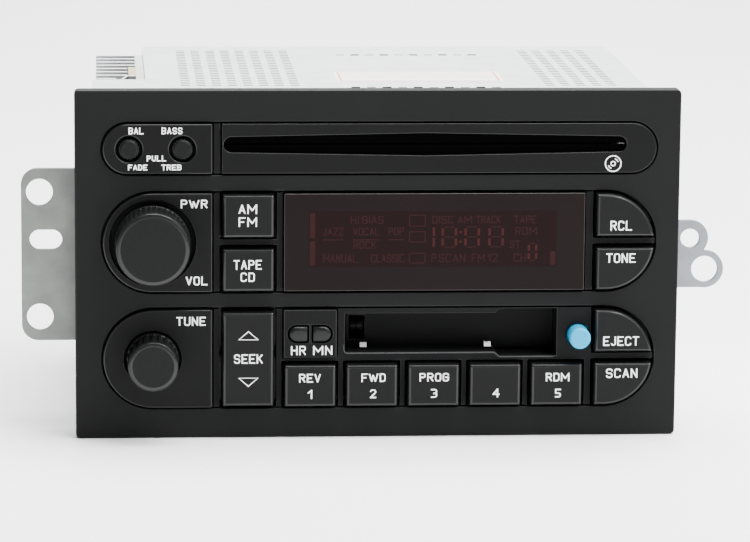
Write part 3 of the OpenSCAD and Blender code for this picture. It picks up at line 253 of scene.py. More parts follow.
def moulded(name, tone, roughness, grain_mm, depth_mm, speck=0.0, rub_and_highlight=0.1, polish=0.4):
    """Black plastic with a grain of that size and depth, specks of light dust, and polished edges painted
    lighter, as rubbed wear and a painted highlight.
    """
    finish = Finish(name)
    grain = finish.noise(grain_mm * MM, 3)
    sheen = finish.noise(SHEEN_MM * MM, 2)
    dust = finish.noise(DUST_MM * MM, 1) > DUST_LEVEL
    edge = finish.mark("worn_and_highlit_edge")
    # The marked edges are painted lighter: partly rubbed wear, partly a painted highlight.
    light = (grain - 0.35) * 0.5 + sheen * 0.3 + dust * speck + edge * rub_and_highlight
    colour = finish.blend(light, grey(tone, COOL), grey(tone * LIGHTEST, COOL))
    gloss = roughness + (sheen - 0.5) * 0.14 + (grain - 0.5) * 0.12 - edge * 0.1
    return finish.surface(Base_Color=colour, Roughness=gloss, Normal=finish.bump(grain, depth_mm * MM),
                          Specular_IOR_Level=PLASTIC_SHINE,
                          Coat_Weight=edge * polish, Coat_Roughness=COAT_BLUR)


black_trim = moulded("black_trim", 0.0036, 0.60, 0.42, 0.020, speck=0.25, rub_and_highlight=0.05, polish=0.1)
black_panel = moulded("black_panel", 0.0026, 0.62, 0.35, 0.015)
black_pod = moulded("black_pod", 0.0016, 0.50, 0.36, 0.014, speck=0.2)
button_black = moulded("button_black", 0.0028, 0.42, 0.30, 0.008, speck=0.12)
knob_black = moulded("knob_black", 0.0032, 0.50, 0.55, 0.030, speck=0.35)
# The lip's grey is far lighter than the other blacks: a painted highlight along the mouth's foot.
lip_highlight_grey = moulded("lip_highlight_grey", 0.030, 0.40, 0.40, 0.004)
socket_black = moulded("socket_black", 0.0080, 0.50, 0.40, 0.010)
BLACKS = (black_trim, black_panel, black_pod, button_black, knob_black, lip_highlight_grey, socket_black)
print("black plastics:", [m.name for m in BLACKS])

# %% [markdown]
# ## Sheet metal
#
# Galvanised sheet is a patchwork of zinc crystals, each a slightly different grey, under faint rolling lines.
# Cells of a Voronoi pattern give the crystals and a noise drawn out along the sheet gives the lines. The left
# bracket is dull old steel with a greenish passivated film, the right one is bright bluish zinc, and the heat
# sink is extruded aluminium, drawn along its fins. So the recipe takes the colour, the crystal size and the
# direction of the lines. Where a punch has cut through, an attribute marks the edge, which is painted nearly
# black and not metallic: partly the bare cut steel, partly painted shade inside the slot.

# %% Sheet metals
DARK_CRYSTAL, LIGHT_CRYSTAL, CUT_SHADE_TONE = 0.62, 1.14, 0.01
LINE_MM, CLOUD_MM, PATCH_MM, LINE_DEPTH_MM = 0.5, 31, 7, 0.006
ACROSS, ALONG, UPRIGHT = (0.02, 1, 1), (1, 0.02, 1), (1, 1, 0.02)


def sheet_metal(name, tone, tint, roughness, crystal_mm, lines, contrast=0.5, stain=0.0):
    """Bare metal of that linear tone and tint, with crystals, drawn lines and a dull stain."""
    finish = Finish(name)
    cells = finish.node(
        "TexVoronoi", {}, {"Vector": finish.place, "Scale": 1 / (crystal_mm * MM)}, out="Color")
    crystal = finish.node("RGBToBW", {}, {"Color": cells})
    drawn = finish.noise(LINE_MM * MM, 3, lines)
    cloud = finish.noise(CLOUD_MM * MM, 3)
    patch = finish.noise(PATCH_MM * MM, 4)
    amount = crystal * contrast * 0.6 + drawn * 0.25 + cloud * 0.3 - (patch - 0.4) * stain
    low = tuple(tone * DARK_CRYSTAL * c for c in tint) + (1.0,)
    high = tuple(min(1.0, tone * LIGHT_CRYSTAL * c) for c in tint) + (1.0,)
    gloss = roughness + (crystal - 0.5) * 0.16 * contrast + (drawn - 0.5) * 0.14 + (patch - 0.5) * stain * 0.4
    # Marked cut edges are painted nearly black: bare steel and painted shade of the slot together.
    cut = finish.mark("shaded_cut_edge")
    colour = finish.blend(cut, finish.blend(amount, low, high), grey(tone * CUT_SHADE_TONE))
    metal = (1.0 - (patch - 0.45) * stain) * (1.0 - cut)
    return finish.surface(Base_Color=colour, Roughness=gloss, Metallic=metal,
                          Normal=finish.bump(drawn, LINE_DEPTH_MM * MM))


zinc_sheet = sheet_metal("zinc_sheet", 0.86, (0.97, 1.0, 0.99), 0.42, 5.0, ACROSS)
bracket_steel = sheet_metal("bracket_steel", 0.23, (0.95, 1.0, 0.95), 0.50, 3.0, UPRIGHT, 0.3, 0.5)
bright_zinc = sheet_metal("bright_zinc", 0.26, (0.93, 0.98, 1.05), 0.33, 2.2, ACROSS, 0.3, 0.25)
aluminium = sheet_metal("aluminium", 0.74, (0.99, 1.0, 1.01), 0.38, 9.0, UPRIGHT, 0.15)
plated_steel = sheet_metal("plated_steel", 0.70, (1.0, 0.99, 0.97), 0.30, 1.5, ALONG, 0.2)
brass = sheet_metal("brass", 0.70, (1.0, 0.76, 0.36), 0.28, 4.0, ACROSS, 0.2, 0.15)
print("metals:", [m.name for m in (zinc_sheet, bracket_steel, bright_zinc, aluminium, plated_steel, brass)])

# %% [markdown]
# ## The other materials
#
# Nylon hubs, rubber, felt, a tan moulded chip, switch bodies and the blue button share one recipe: a colour
# that wanders between two tones with a fine grain and a slow cloud, lighter at a marked edge, partly as
# rubbed wear and partly as a painted highlight.
# They differ in those tones, in their gloss and in the depth of the grain.

# %% Nylon, rubber and the tan case
HAZE_MM = 9


def speckled(name, low, high, roughness, grain_mm, depth_mm, **fixed):
    """An opaque moulding that wanders between two colours, with a fine grain."""
    finish = Finish(name)
    grain = finish.noise(grain_mm * MM, 3)
    cloud = finish.noise(HAZE_MM * MM, 3)
    edge = finish.mark("worn_and_highlit_edge")
    # Marked edges are painted lighter: rubbed wear and a painted highlight together.
    colour = finish.blend(grain * 0.5 + cloud * 0.6 - 0.1 + edge * 0.3, low, high)
    gloss = roughness + (cloud - 0.5) * 0.12 + (grain - 0.5) * 0.1
    relief = finish.bump(grain, depth_mm * MM)
    return finish.surface(Base_Color=colour, Roughness=gloss, Normal=relief, **fixed)


natural_nylon = speckled("natural_nylon", (0.56, 0.52, 0.42, 1), (0.74, 0.70, 0.60, 1), 0.42, 0.5, 0.006)
rubber = speckled("rubber", (0.010, 0.010, 0.010, 1), (0.030, 0.029, 0.028, 1), 0.72, 0.4, 0.02)
felt = speckled("felt", grey(0.0008), grey(0.0020), 0.95, 0.3, 0.05, Specular_IOR_Level=0.0)
tan_case = speckled("tan_case", (0.33, 0.27, 0.15, 1), (0.45, 0.38, 0.23, 1), 0.55, 0.5, 0.012)
switch_body = speckled("switch_body", (0.30, 0.31, 0.32, 1), (0.42, 0.43, 0.44, 1), 0.40, 0.4, 0.006)
sky_blue = speckled("sky_blue", (0.001, 0.27, 0.50, 1), (0.002, 0.35, 0.60, 1), 0.26, 0.6, 0.003,
                    Specular_IOR_Level=0.12, Coat_Weight=0.06, Coat_Roughness=0.12)
print("mouldings:", [m.name for m in (natural_nylon, rubber, felt, tan_case, switch_body, sky_blue)])

# %% [markdown]
# A circuit board is green lacquer over copper, and the joints of a brick pattern pass for its tracks.
# The window and the tube behind it are smoked: nearly black, with wiping marks that only the gloss
# shows. Ink is a flat colour, a little uneven in its cover. The inks of the display have the window's
# own low shine, so that they seem to lie behind its surface.

# %% Boards, glass and ink
TRACK_W, PAD_L, PAD_W, TRACK_DEPTH = 0.5 * MM, 9.2 * MM, 2.7 * MM, 0.03 * MM
LACQUER, COPPER = (0.012, 0.075, 0.035), (0.045, 0.17, 0.075)
GLASS_SHINE = 0.05


def lacquered_board(name, tone=1.0):
    """Green solder lacquer over copper tracks, darker where the tone is low."""
    finish = Finish(name)
    tracks = finish.node("TexBrick", {"offset": 0.35, "squash": 0.7}, {
        "Vector": finish.place, "Scale": 1.0, "Mortar Size": TRACK_W, "Brick Width": PAD_L,
        "Row Height": PAD_W, "Mortar Smooth": 0.0}, out="Fac")
    cloud = finish.noise(6 * MM, 3)
    low, high = (tuple(c * tone for c in colour) + (1,) for colour in (LACQUER, COPPER))
    colour = finish.blend(tracks * 0.7 + cloud * 0.25, low, high)
    return finish.surface(Base_Color=colour, Roughness=0.34 + (cloud - 0.5) * 0.15,
                          Normal=finish.bump(tracks, TRACK_DEPTH))


def smoked_glass(name, tone, roughness):
    """Dark red-brown acrylic, with faint wiping marks in its gloss."""
    finish = Finish(name)
    wiped = finish.noise(1.2 * MM, 3, (0.12, 1, 1))
    cloud = finish.noise(28 * MM, 2)
    edge = finish.mark("worn_and_highlit_edge")
    colour = finish.blend(cloud, tone, tuple(c * 1.5 for c in tone[:3]) + (1,))
    gloss = roughness + (wiped - 0.5) * 0.03 + (cloud - 0.5) * 0.02
    return finish.surface(Base_Color=colour, Roughness=gloss, Specular_IOR_Level=GLASS_SHINE,
                          Coat_Weight=edge * 0.7, Coat_Roughness=0.2)


def printed(name, low, high, roughness, **fixed):
    """Screen-printed ink, slightly uneven in its cover."""
    finish = Finish(name)
    cover = finish.noise(0.35 * MM, 2)
    colour = finish.blend(cover, low, high)
    return finish.surface(Base_Color=colour, Roughness=roughness + (cover - 0.5) * 0.05, **fixed)


circuit_board = lacquered_board("circuit_board")
dark_board = lacquered_board("dark_board", 0.03)
lens_smoke = smoked_glass("lens_smoke", (0.0046, 0.0024, 0.0026, 1), 0.055)
tube_glass = smoked_glass("tube_glass", (0.020, 0.012, 0.012, 1), 0.12)
legend_white = printed("legend_white", grey(0.90), grey(1.0), 0.55)
segment_ghost = printed("segment_ghost", (0.0140, 0.0036, 0.0040, 1), (0.0185, 0.0046, 0.0050, 1), 0.06,
                        Specular_IOR_Level=GLASS_SHINE)
segment_field = printed("segment_field", (0.0050, 0.0011, 0.0013, 1), (0.0060, 0.0014, 0.0016, 1), 0.06,
                        Specular_IOR_Level=GLASS_SHINE)
segment_red = printed("segment_red", (0.022, 0.0046, 0.0050, 1), (0.030, 0.0060, 0.0064, 1), 0.06,
                      Specular_IOR_Level=GLASS_SHINE)
label_paper = printed("label_paper", (0.76, 0.72, 0.70, 1), (0.82, 0.80, 0.78, 1), 0.70)
label_red = printed("label_red", (0.60, 0.20, 0.12, 1), (0.70, 0.27, 0.16, 1), 0.65)
FINISH_OF_SLOT = {name: bpy.data.materials[name] for name in sorted(set(SLOT_OF.values()))}
print("boards and glass:", [m.name for m in (circuit_board, dark_board, lens_smoke, tube_glass)])
print(len(FINISH_OF_SLOT), "slots have a finish")

# %% [markdown]
# Every solid first gets the finish that the record names for it. The front board is dimmed, because
# what shows of it in the gaps round the buttons lies in deep shade. Pieces that are remade below take
# over from there.

# %% Dress the solids
for name, solid in frame["nodes"].items():
    solid.data.materials.clear()
    solid.data.materials.append(dark_board if name == "front_board" else FINISH_OF_SLOT[SLOT_OF[name]])
print("dressed", len(frame["nodes"]), "solids")

# %% [markdown]
# ## Soft edges
#
# A CAD solid has knife edges, and real mouldings and sheets don't: a small radius catches a line of
# light, and that line is what makes a part look solid. So many solids get a softer copy that stands for
# them. The loose triangles of a solid are merged and its flat faces joined again, which leaves only the
# edges that a maker would see. The solid itself stays as it is.

# %% Copies of solids
WELD, FLAT_ANGLE = 0.002 * MM, math.radians(1)


def plain_mesh(piece):
    """The piece's finished mesh, with its modifiers worked in and taken away."""
    graph = bpy.context.evaluated_depsgraph_get()
    made = bpy.data.meshes.new_from_object(
        piece.evaluated_get(graph), preserve_all_data_layers=True, depsgraph=graph)
    piece.modifiers.clear()
    piece.data = made
    return made


def merged(node):
    """A copy of a solid as one connected shape, with its flat faces whole."""
    shape = bmesh.new()
    shape.from_mesh(frame["nodes"][node].data)
    bmesh.ops.remove_doubles(shape, verts=shape.verts, dist=WELD)
    bmesh.ops.dissolve_limit(shape, angle_limit=FLAT_ANGLE, verts=shape.verts, edges=shape.edges)
    return shape


def stand_in(node, shape, smooth):
    """A piece of that shape in the finish of a solid."""
    for side in shape.faces:
        side.smooth = smooth
    mesh = bpy.data.meshes.new(node + "_soft")
    shape.to_mesh(mesh)
    shape.free()
    mesh.materials.append(FINISH_OF_SLOT[SLOT_OF[node]])
    return add_object(node + "_soft", mesh)


def mark_faces(mesh, name, values):
    """Stores a number on each face, for the finishes to read."""
    mesh.attributes.new(name, "FLOAT", "FACE").data.foreach_set("value", values)


def take_over(piece, node):
    """Lets a finished piece stand for a solid, on the solid's body."""
    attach(piece, frame["nodes"][node]["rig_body"])
    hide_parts(node)
    return piece


print("copies weld within", WELD / MM, "mm")

# %% [markdown]
# A Bevel modifier rounds each sharp edge, and the large knobs' fronts get a wider rounding first. The bevel
# gives its new faces a material of their own. They are found by it, marked in an attribute that the finishes
# paint lighter and glossier, as rubbed wear and a painted highlight, and then take the piece's finish. How
# wide an edge may be depends on the walls: a thin wall bears only a small one, and a wider bevel would fold
# through itself.

# %% Rounded copies
EDGE_STEPS, FRONT_STEPS, SHARP_ANGLE, FRONT_DEPTH = 3, 5, math.radians(32), 0.02 * MM


def soften(node, width_mm, front_mm):
    """Replaces a solid with a copy whose sharp edges are rounded, its front's edge by more if asked."""
    shape = merged(node)
    front = min(dot.co.y for dot in shape.verts) + FRONT_DEPTH
    weight = shape.edges.layers.float.new("bevel_weight_edge")
    for edge in shape.edges:
        edge[weight] = float(max(dot.co.y for dot in edge.verts) < front)
    piece = stand_in(node, shape, smooth=True)
    piece.data.materials.append(edge_mark)
    if front_mm:
        crown = piece.modifiers.new("front", "BEVEL")
        crown.width, crown.segments, crown.material = front_mm * MM, FRONT_STEPS, 1
        crown.limit_method = "WEIGHT"
    bevel = piece.modifiers.new("edges", "BEVEL")
    bevel.width, bevel.segments, bevel.material = width_mm * MM, EDGE_STEPS, 1
    bevel.limit_method, bevel.angle_limit, bevel.use_clamp_overlap = "ANGLE", SHARP_ANGLE, False
    piece.modifiers.new("shading", "WEIGHTED_NORMAL").keep_sharp = True
    made = plain_mesh(piece)
    # The bevel's faces are marked for rubbed wear and a painted highlight.
    worn_and_highlit = [float(side.material_index == 1) for side in made.polygons]
    mark_faces(made, "worn_and_highlit_edge", worn_and_highlit)
    made.polygons.foreach_set("material_index", [0] * len(worn_and_highlit))
    made.materials.pop(index=1)
    return take_over(piece, node)


edge_mark = bpy.data.materials.new("edge_mark")
PRESETS = [f"preset_button_{i}" for i in range(1, 6)]
SQUARE_BUTTONS = ["am_fm_button", "tape_cd_button", "seek_rocker", *PRESETS]
ROUND_BUTTONS = ["recall_button", "tone_button", "eject_button", "scan_button"]
SOFT_EDGES = {
    0.45: ["tone_pod", "volume_pod", "tune_pod", "trim_plate"],
    0.35: SQUARE_BUTTONS,
    0.25: ["clock_pod", *ROUND_BUTTONS, "cd_slot_panel", "display_lens", "blue_button"],
    0.20: ["power_chip", "left_bracket", "right_bracket"],
    0.15: ["face_panel", "cassette_door", "heat_sink", "sink_clip", "harness_socket", "antenna_socket"],
    0.10: ["volume_knob", "tune_knob", "chassis_tray", "rear_panel"],
    0.03: ["balance_knob", "bass_knob"],
}
FRONT_EDGES = {"volume_knob": 0.5, "tune_knob": 0.5}
soft = [soften(node, width, FRONT_EDGES.get(node, 0))
        for width, nodes in SOFT_EDGES.items() for node in nodes]
bpy.data.materials.remove(edge_mark)
print("softened", len(soft), "solids,", sum(len(piece.data.polygons) for piece in soft), "faces")

# %% [markdown]
# The two halves of the clock pod's pill are soft pillows, rounder than any bevel of a stepped solid
# can be. Their step is cut away, the hole is closed by one face, and that face is drawn in and raised
# again and again along a quarter of an ellipse.

# %% Clock buttons
PILLOW_RISE, PILLOW_SPAN, PILLOW_ROUNDS = 0.85 * MM, 1.5 * MM, 7
PILLOW_GLOSS_AND_HIGHLIGHT, PILLOW_CREASE = 0.45, math.radians(40)


def pillow(node):
    """Replaces a stepped button with one that swells evenly to its middle."""
    shape = merged(node)
    front = min(dot.co.y for dot in shape.verts)
    step_back = sorted({round(dot.co.y, 6) for dot in shape.verts})[1]
    cut = [side for side in shape.faces if max(dot.co.y for dot in side.verts) < step_back + 0.01 * MM]
    bmesh.ops.delete(shape, geom=cut, context="FACES")
    rim = [edge for edge in shape.edges if edge.is_boundary]
    for dot in {dot for edge in rim for dot in edge.verts}:
        dot.co.y = front + PILLOW_RISE
    cap = bmesh.ops.holes_fill(shape, edges=rim)["faces"]
    bmesh.ops.recalc_face_normals(shape, faces=shape.faces)
    turns = [math.pi / 2 * i / PILLOW_ROUNDS for i in range(PILLOW_ROUNDS + 1)]
    for low, high in zip(turns, turns[1:]):
        bmesh.ops.inset_region(
            shape, faces=cap, use_even_offset=True, thickness=(math.cos(low) - math.cos(high)) * PILLOW_SPAN,
            depth=(math.sin(high) - math.sin(low)) * PILLOW_RISE)
    piece = stand_in(node, shape, smooth=True)
    piece.data.set_sharp_from_angle(angle=PILLOW_CREASE)
    # The whole pillow is marked like a rubbed edge: glossier, and painted a little lighter as a painted
    # highlight.
    mark_faces(piece.data, "worn_and_highlit_edge", [PILLOW_GLOSS_AND_HIGHLIGHT] * len(piece.data.polygons))
    return take_over(piece, node)


for node in ("hour_button", "minute_button"):
    print(node, len(pillow(node).data.polygons), "faces")

# %% [markdown]
# The cover is thin sheet with hundreds of punched slots. Their cut walls have no bright skin, and from the
# front they are what is seen of a slot. A copy of the cover marks them for the finish, which paints them
# nearly black, as bare steel and as painted shade in the slots: small upright faces within the sheet's
# thickness.

# %% Punched cover
VENT_WALL, SHEET_REACH = 16 * MM * MM, 1.2 * MM
shape = merged("top_cover")
under = max(dot.co.z for dot in shape.verts) - SHEET_REACH
shaded_walls = {side.index for side in shape.faces if abs(side.normal.z) < 0.5 and side.calc_area() < VENT_WALL
         and min(dot.co.z for dot in side.verts) > under}
cover = stand_in("top_cover", shape, smooth=False)
mark_faces(cover.data, "shaded_cut_edge", [float(i in shaded_walls) for i in range(len(cover.data.polygons))])
take_over(cover, "top_cover")
print(len(shaded_walls), "vent walls of", len(cover.data.polygons), "faces")

# %% [markdown]
# ## Legends
#
# The white words on the radio are screen-printed in a plain condensed lettering. A text object would
# bring the outlines of some font with it; here each letter is a few pen strokes on a grid six high,
# and four wide but for a few letters. Each pair of figures is a point, across and up. Strokes that
# meet lie a hair above each other, so that their faces never share a plane.

# %% Letters as strokes
STROKES = {
    "A": "00 26,26 40,12 32", "B": "00 06,06 46 43 03,03 43 40 00", "C": "45 46 06 00 40 41",
    "D": "00 06,06 46 40 00", "E": "00 06,06 46,03 33,00 40", "F": "00 06,06 46,03 33",
    "G": "45 46 06 00 40 43,43 23", "H": "00 06,40 46,03 43", "I": "00 06", "J": "36 30 00 01",
    "K": "00 06,46 02,14 40", "L": "00 06,00 40", "M": "00 06,06 32,32 66,66 60",
    "N": "00 06,06 40,40 46", "O": "03 06 46 40 00 03", "P": "00 06,06 46 43 03",
    "R": "00 06,06 46 43 03,23 40", "S": "45 46 06 03 43 40 00 01", "T": "06 46,26 20",
    "U": "06 00 40 46", "V": "06 20,20 46", "W": "06 20,20 35,35 50,50 76", "Z": "06 46,46 00,00 40",
    "1": "04 26,26 20", "2": "05 06 46 44 00,00 40", "3": "06 46 43 23,43 40 00",
    "4": "30 36,36 02,02 42", "5": "46 06,06 03,03 43 40 00",
}
GRID_HIGH, LETTER_GAP = 6, 2.3
LAYER, HAIR = 0.004, 1e-6


def letter_strokes(letter):
    """The strokes of a letter, each a list of grid points."""
    return [[(int(x), int(z)) for x, z in stroke.split()] for stroke in STROKES[letter].split(",")]


def pen_strokes(text, middle, low, width, height, nib):
    """The strokes of a word in millimetres, with square ends, each a hair above the one before."""
    letters = [letter_strokes(letter) for letter in text]
    widths = [max(x for stroke in letter for x, _ in stroke) for letter in letters]
    units = sum(widths) + LETTER_GAP * (len(text) - 1)
    step_x = (width - nib) / units
    step_z = (height - nib) / GRID_HIGH
    start, foot = middle - width / 2 + nib / 2, low + nib / 2
    drawn = []
    for letter, wide in zip(letters, widths):
        for layer, stroke in enumerate(letter):
            points = [Vector((start + x * step_x, foot + z * step_z, layer * LAYER)) for x, z in stroke]
            if stroke[0] != stroke[-1]:
                for end, inner in ((0, 1), (-1, -2)):
                    reach = points[end] - points[inner]
                    slanted = min(abs(reach.x), abs(reach.y)) > HAIR
                    points[end] += reach.normalized() * nib / (4 if slanted else 2)
            drawn.append(points)
        start += (wide + LETTER_GAP) * step_x
    return drawn


print(len(STROKES), "letters and figures")

# %% [markdown]
# Geometry Nodes sweep a flat nib along the strokes. The nib is one node tree with named inputs: a mesh
# of bare edges comes in, becomes curves, gets round corners, and is swept with a flat rectangle. The
# tree ends in real geometry with its ink set, because an exported model can't carry instances.


# %% The nib
def node_tree(name, sockets):
    """A geometry tree with named inputs, and the identifiers of those inputs."""
    tree = bpy.data.node_groups.new(name, "GeometryNodeTree")
    tree.interface.new_socket("Geometry", in_out="OUTPUT", socket_type="NodeSocketGeometry")
    tree.interface.new_socket("Geometry", in_out="INPUT", socket_type="NodeSocketGeometry")
    keys = {}
    for label, kind in sockets.items():
        made = tree.interface.new_socket(label, in_out="INPUT", socket_type="NodeSocket" + kind)
        keys[label] = made.identifier
    return tree, keys


def tree_node(tree, kind, settings=None, inputs=None):
    """A node of a geometry tree, its settings first, then its values and links."""
    made = tree.nodes.new(kind)
    for key, value in (settings or {}).items():
        setattr(made, key, value)
    for key, value in (inputs or {}).items():
        if isinstance(value, bpy.types.NodeSocket):
            tree.links.new(value, made.inputs[key])
        else:
            made.inputs[key].default_value = value
    return made


def end_tree(tree, geometry, ink):
    """Realises what was made, sets its material and sends it out."""
    real = tree_node(tree, "GeometryNodeRealizeInstances", {}, {0: geometry})
    dressed = tree_node(tree, "GeometryNodeSetMaterial", {}, {"Geometry": real.outputs[0], "Material": ink})
    tree_node(tree, "NodeGroupOutput", {}, {0: dressed.outputs[0]})


CORNER_STEPS = 3
nib_tree, NIB = node_tree("flat_nib", {"Nib": "Float", "Film": "Float", "Corner": "Float", "Ink": "Material"})
given = tree_node(nib_tree, "NodeGroupInput").outputs
line = tree_node(nib_tree, "GeometryNodeMeshToCurve", {}, {"Mesh": given["Geometry"]})
round_line = tree_node(nib_tree, "GeometryNodeFilletCurve", {"mode": "POLY"}, {
    "Curve": line.outputs[0], "Count": CORNER_STEPS, "Radius": given["Corner"], "Limit Radius": True})
tip = tree_node(nib_tree, "GeometryNodeCurvePrimitiveQuadrilateral", {}, {
    "Width": given["Nib"], "Height": given["Film"]})
swept = tree_node(nib_tree, "GeometryNodeCurveToMesh", {}, {
    "Curve": round_line.outputs[0], "Profile Curve": tip.outputs[0], "Fill Caps": True})
end_tree(nib_tree, swept.outputs[0], given["Ink"])
print("nib inputs", sorted(NIB))

# %% [markdown]
# A legend is drawn flat, swept, and then stood up on its face: across stays across, up becomes up, and
# the film's thickness points out of the radio. Half of the film lies in the plastic, so no gap shows.


# %% Drawing on a face
def on_face(depth):
    """Turns a drawing upright, onto the face at that depth."""
    return Matrix.Translation(face(0, 0, depth)) @ Matrix(((1, 0, 0), (0, 0, -1), (0, 1, 0))).to_4x4()


def draw(name, strokes, place, body, nib, ink, corner=0.55, film=0.06):
    """Sweeps strokes, in millimetres, into one flat ribbon of ink at that place, which rides on a body."""
    lines = bmesh.new()
    for stroke in strokes:
        closed = (stroke[0] - stroke[-1]).length < HAIR
        dots = [lines.verts.new(p * MM) for p in (stroke[:-1] if closed else stroke)]
        for first, second in zip(dots, dots[1:] + dots[:1] if closed else dots[1:]):
            lines.edges.new((first, second))
    mesh = bpy.data.meshes.new(name)
    lines.to_mesh(mesh)
    lines.free()
    flat = add_object(name, mesh)
    pen = flat.modifiers.new("nib", "NODES")
    pen.node_group = nib_tree
    for key, value in (("Nib", nib * MM), ("Film", film * MM), ("Corner", corner * MM), ("Ink", ink)):
        pen[NIB[key]] = value
    made = plain_mesh(flat)
    made.shade_flat()
    made.transform(place)
    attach(flat, body)


CAP_FACE, POD_FACE = front_of("am_fm_button"), front_of("tone_pod")
print("buttons stand", round(-CAP_FACE, 2), "mm out of the plate, pods", round(-POD_FACE, 2), "mm")

# %% [markdown]
# The words themselves: what they say, where their middle and lower edge are, and how wide and high
# they are, in millimetres of the face. Low words are drawn with a finer nib. Each body has its own
# ink, so that a word moves with its button.

# %% Words on the pods and buttons
FINE_NIB, BROAD_NIB, LOW_WORD = 0.36, 0.43, 2.5
WORDS = {
    "chassis": [("BAL", -78.2, 100.0, 4.8, 2.2), ("BASS", -66.7, 100.0, 6.7, 2.2),
                ("PULL", -71.7, 91.2, 6.2, 1.9), ("FADE", -77.7, 88.3, 6.2, 1.9),
                ("TREB", -66.9, 88.3, 6.4, 1.9), ("PWR", -59.6, 75.9, 8.6, 2.8),
                ("VOL", -58.8, 50.7, 7.0, 2.9), ("TUNE", -60.6, 37.4, 9.5, 2.9),
                ("HR", -25.8, 27.5, 4.8, 3.0), ("MN", -17.9, 27.5, 6.2, 3.0)],
    "am_fm_button": [("AM", -42.4, 74.3, 5.9, 3.1), ("FM", -42.4, 70.1, 5.9, 3.1)],
    "tape_cd_button": [("TAPE", -42.4, 56.1, 9.1, 3.1), ("CD", -42.4, 52.1, 4.6, 3.0)],
    "seek_rocker": [("SEEK", -42.1, 25.1, 9.3, 3.1)],
    "preset_button_1": [("REV", -22.1, 18.7, 7.0, 2.9), ("1", -22.1, 13.3, 1.5, 3.0)],
    "preset_button_2": [("FWD", -1.4, 18.8, 7.9, 2.8), ("2", -1.5, 13.4, 2.0, 2.9)],
    "preset_button_3": [("PROG", 18.4, 18.8, 9.6, 2.8), ("3", 18.4, 13.4, 2.0, 2.9)],
    "preset_button_4": [("4", 38.7, 13.4, 2.2, 2.9)],
    "preset_button_5": [("RDM", 58.8, 18.6, 7.7, 2.8), ("5", 59.0, 13.2, 1.9, 2.9)],
    "recall_button": [("RCL", 78.7, 68.4, 7.0, 3.2)],
    "tone_button": [("TONE", 78.8, 57.8, 9.6, 3.1)],
    "eject_button": [("EJECT", 79.4, 30.3, 11.7, 3.1)],
    "scan_button": [("SCAN", 79.8, 19.6, 10.3, 3.1)],
}
for body, words in WORDS.items():
    depth = POD_FACE if body == "chassis" else CAP_FACE
    for nib in (FINE_NIB, BROAD_NIB):
        chosen = [word for word in words if (word[4] < LOW_WORD) == (nib == FINE_NIB)]
        if chosen:
            strokes = [s for word in chosen for s in pen_strokes(*word, nib)]
            draw(f"{body}_words_{round(nib * 100)}", strokes, on_face(depth), body, nib, legend_white)

# %% [markdown]
# Three marks are shapes and no letters: the two arrowheads of the seek key and a plain disc beside the
# slot. A closed stroke ends where it began, and the sweep then has no ends to cap.

# %% Arrowheads and the disc
MARK_NIB, DISC_NIB = 0.42, 0.34
ARROW_LEFT, ARROW_TIP, ARROW_RIGHT = -45.2, -42.1, -39.0
ARROW_HEIGHTS = [(33.0, 35.7), (20.3, 17.6)]
DISC_X, DISC_Z, DISC_RIM, DISC_HOLE, DISC_GLEAM = 76, 90, 2.55, 0.7, 1.65


def ring(radius, first=0, last=360, steps=36):
    """Points of a circle or an arc about the disc mark's middle, in millimetres."""
    turns = [math.radians(first + (last - first) * i / steps) for i in range(steps + 1)]
    return [Vector((DISC_X + radius * math.cos(a), DISC_Z + radius * math.sin(a), 0)) for a in turns]


def polyline(*points):
    """Points across and up, in millimetres, as a stroke."""
    return [Vector((x, z, 0)) for x, z in points]


arrows = [polyline((ARROW_LEFT, low), (ARROW_RIGHT, low), (ARROW_TIP, tip), (ARROW_LEFT, low))
          for low, tip in ARROW_HEIGHTS]
draw("seek_arrows", arrows, on_face(CAP_FACE), "seek_rocker", MARK_NIB, legend_white, corner=0)
disc_mark = [ring(DISC_RIM), ring(DISC_HOLE), ring(DISC_GLEAM, 20, 70, 8), ring(DISC_GLEAM, 200, 250, 8)]
draw("disc_mark", disc_mark, on_face(front_of("cd_slot_panel")), "chassis", DISC_NIB, legend_white, corner=0)
print("marks drawn:", len(arrows), "arrowheads and a disc of", len(disc_mark), "strokes")

# %% [markdown]
# ## The sleeping display
#
# Switched off, the window still shows its segments as dull red ghosts: small function words,
# small boxes, and four figures made of seven bars, on a field a little redder than the rest of the
# window. They are printed just above the window's surface with the window's own gloss, so
# that the room's reflection runs across them unbroken.

# %% Ghost words
ON_LENS = on_face(front_of("display_lens"))
FIELD_LEFT, FIELD_RIGHT, FIELD_Z, FIELD_HIGH, FIELD_FILM = -22.6, 57.9, 65.6, 18.4, 0.02
GHOST_WORDS = [
    ("HI", -7.8, 70.6, 2.6, 2.6), ("BIAS", -1.9, 70.6, 7.0, 2.6), ("DISC", 20.8, 70.6, 6.9, 2.6),
    ("AM", 27.9, 70.6, 4.7, 2.6), ("TRACK", 35.6, 70.6, 8.0, 2.6), ("TAPE", 47.6, 70.6, 7.2, 2.6),
    ("JAZZ", -14.7, 66.8, 6.7, 2.6), ("VOCAL", -4.0, 66.8, 8.6, 2.6), ("POP", 5.7, 66.8, 5.0, 2.6),
    ("RDM", 47.9, 66.8, 7.1, 2.6), ("ROCK", -4.5, 62.4, 7.3, 2.6), ("ST", 44.3, 62.4, 3.3, 2.6),
    ("MANUAL", -12.4, 57.9, 11.2, 2.8), ("CLASSIC", 2.9, 57.9, 10.7, 2.8), ("P", 18.0, 57.9, 1.6, 2.8),
    ("SCAN", 23.9, 57.9, 8.7, 2.8), ("FM", 32.4, 57.9, 4.3, 2.8), ("12", 37.1, 57.9, 3.4, 2.8),
    ("CH", 46.0, 57.9, 4.0, 2.8),
]
